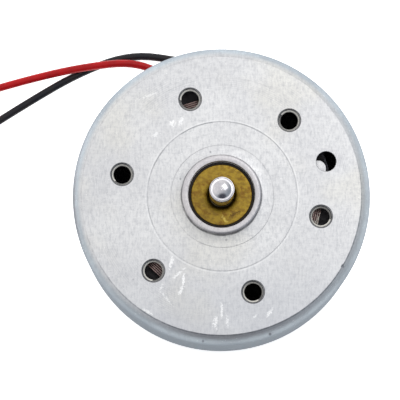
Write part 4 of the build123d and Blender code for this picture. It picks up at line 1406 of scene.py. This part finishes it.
# ------------------------------------------------------------------------------ rear side
@dataclass
class RearSide:
    """What shows behind: the cover with its boss, and the two soldered terminals."""

    boss_fillet: float = 0.3
    thickness: float = 0.8
    bush_bore: float = 2.5
    floor: float = 0.3
    window: Point = (2.5, 1.2)
    window_corner: float = 0.25

    def cover(self) -> None:
        """Turns the cover with its drawn boss, and cuts the terminals' windows."""
        low, high = box_mm("rear_cover")
        radius, top = high.x, high.z
        plate = top - self.thickness
        boss = MOUNTS["rear_boss"]["dims"]["r_mm"]
        fillet = self.boss_fillet
        outline = [
            (0, 0), (boss - fillet, 0), *arc((boss - fillet, fillet), fillet, -90, 0, 6)[1:],
            (boss, plate - 0.22), *arc((boss + 0.22, plate - 0.22), 0.22, 180, 90, 5)[1:],
            (4.4, plate), (4.5, plate + 0.03), (4.6, plate + 0.03), (4.7, plate),
            (radius - 0.1, plate), (radius, plate + 0.1), (radius, top - 0.05), (radius - 0.05, top),
            (self.bush_bore, top), (self.bush_bore, self.floor), (0, self.floor),
        ]
        cover = lathe("rear_cover_pressed", outline, 192, closed=False)
        for terminal in ("terminal_positive", "terminal_negative"):
            ends = box_mm(terminal)
            middle = (ends[0] + ends[1]) / 2
            tool = start("window_tool", bpy.ops.mesh.primitive_cube_add, size=MM)
            tool.scale = (self.window[0], self.window[1], 4.0)
            tool.location = (middle.x * MM, middle.y * MM, plate * MM)
            settle(tool)
            with editing(tool):
                bpy.ops.mesh.select_all(action="DESELECT")
            bpy.ops.object.mode_set(mode="OBJECT")
            for edge in tool.data.edges:
                ends_z = [tool.data.vertices[index].co.z for index in edge.vertices]
                edge.select = abs(ends_z[0] - ends_z[1]) > MM
            bpy.ops.object.mode_set(mode="EDIT")
            bpy.ops.mesh.bevel(offset=self.window_corner * MM, segments=5, affect="EDGES")
            bpy.ops.object.mode_set(mode="OBJECT")
            cut(cover, tool)
        smooth(cover, 25)
        ready(cover, Body.MOTOR, ZINC, "rear_cover")

    def joint(self, pole: str) -> None:
        """Flows a blob of solder over a terminal and its lead."""
        low, high = box_mm(f"solder_{pole}")
        size = high - low
        blob = start(f"solder_blob_{pole}", bpy.ops.mesh.primitive_cube_add, size=MM)
        blob.scale = size
        blob.location = (low + high) / 2 * MM
        settle(blob)
        with editing(blob):
            bpy.ops.mesh.bevel(offset=0.26 * MM, segments=2, affect="EDGES")
            bpy.ops.mesh.subdivide(number_cuts=1, smoothness=0.4)
        finish_modifier(blob, "SUBSURF", levels=2, render_levels=2)
        smooth(blob, 80)
        ready(blob, Body.MOTOR, SOLDER, f"solder_{pole}")

    def build(self) -> None:
        """Makes the rear side."""
        self.cover()
        for pole in ("positive", "negative"):
            self.joint(pole)
            blade = smoothed_copy(f"terminal_{pole}", f"terminal_blade_{pole}", 0.04)
            ready(blade, Body.MOTOR, CONTACT_BRASS, f"terminal_{pole}")


# ------------------------------------------------------------------------------ inner parts
@dataclass
class InnerParts:
    """The parts that keep their CAD shape and get their real finish."""

    finishes: dict[str, Finish] = field(default_factory=lambda: {
        finish.slot: finish for finish in (
            BRONZE, CORE_IRON, INSULATOR_CARD, FERRITE, SPRING_STEEL, NYLON, HOLDER_BLACK, HUB_BROWN,
            CONTACT_BRASS, BAR_COPPER, CARBON, RUBBER, VARISTOR, SOLDER)})

    def build(self) -> None:
        """Dresses every CAD node that no piece stands for."""
        hidden = {name for piece in bpy.data.objects for name in piece.get("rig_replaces", [])}
        for row in frame["record"]["subparts"]:
            if row["node"] in hidden:
                continue
            finish = self.finishes.get(row["material_slot"])
            if finish is not None:
                finish.dress(frame["nodes"][row["node"]])
                log.info("%s keeps its shape, %s", row["node"], finish.slot)


def main() -> None:
    """Builds the studio, the leads and then the motor."""
    logging.basicConfig(level=logging.INFO, format="%(name)s: %(message)s")
    for assembly in (Studio(), Leads(), Case(), FrontBush(), Shaft(), Windings(), RearSide(), InnerParts()):
        log.info("building %s", type(assembly).__name__)
        assembly.build()


if __name__ == "__main__":
    main()
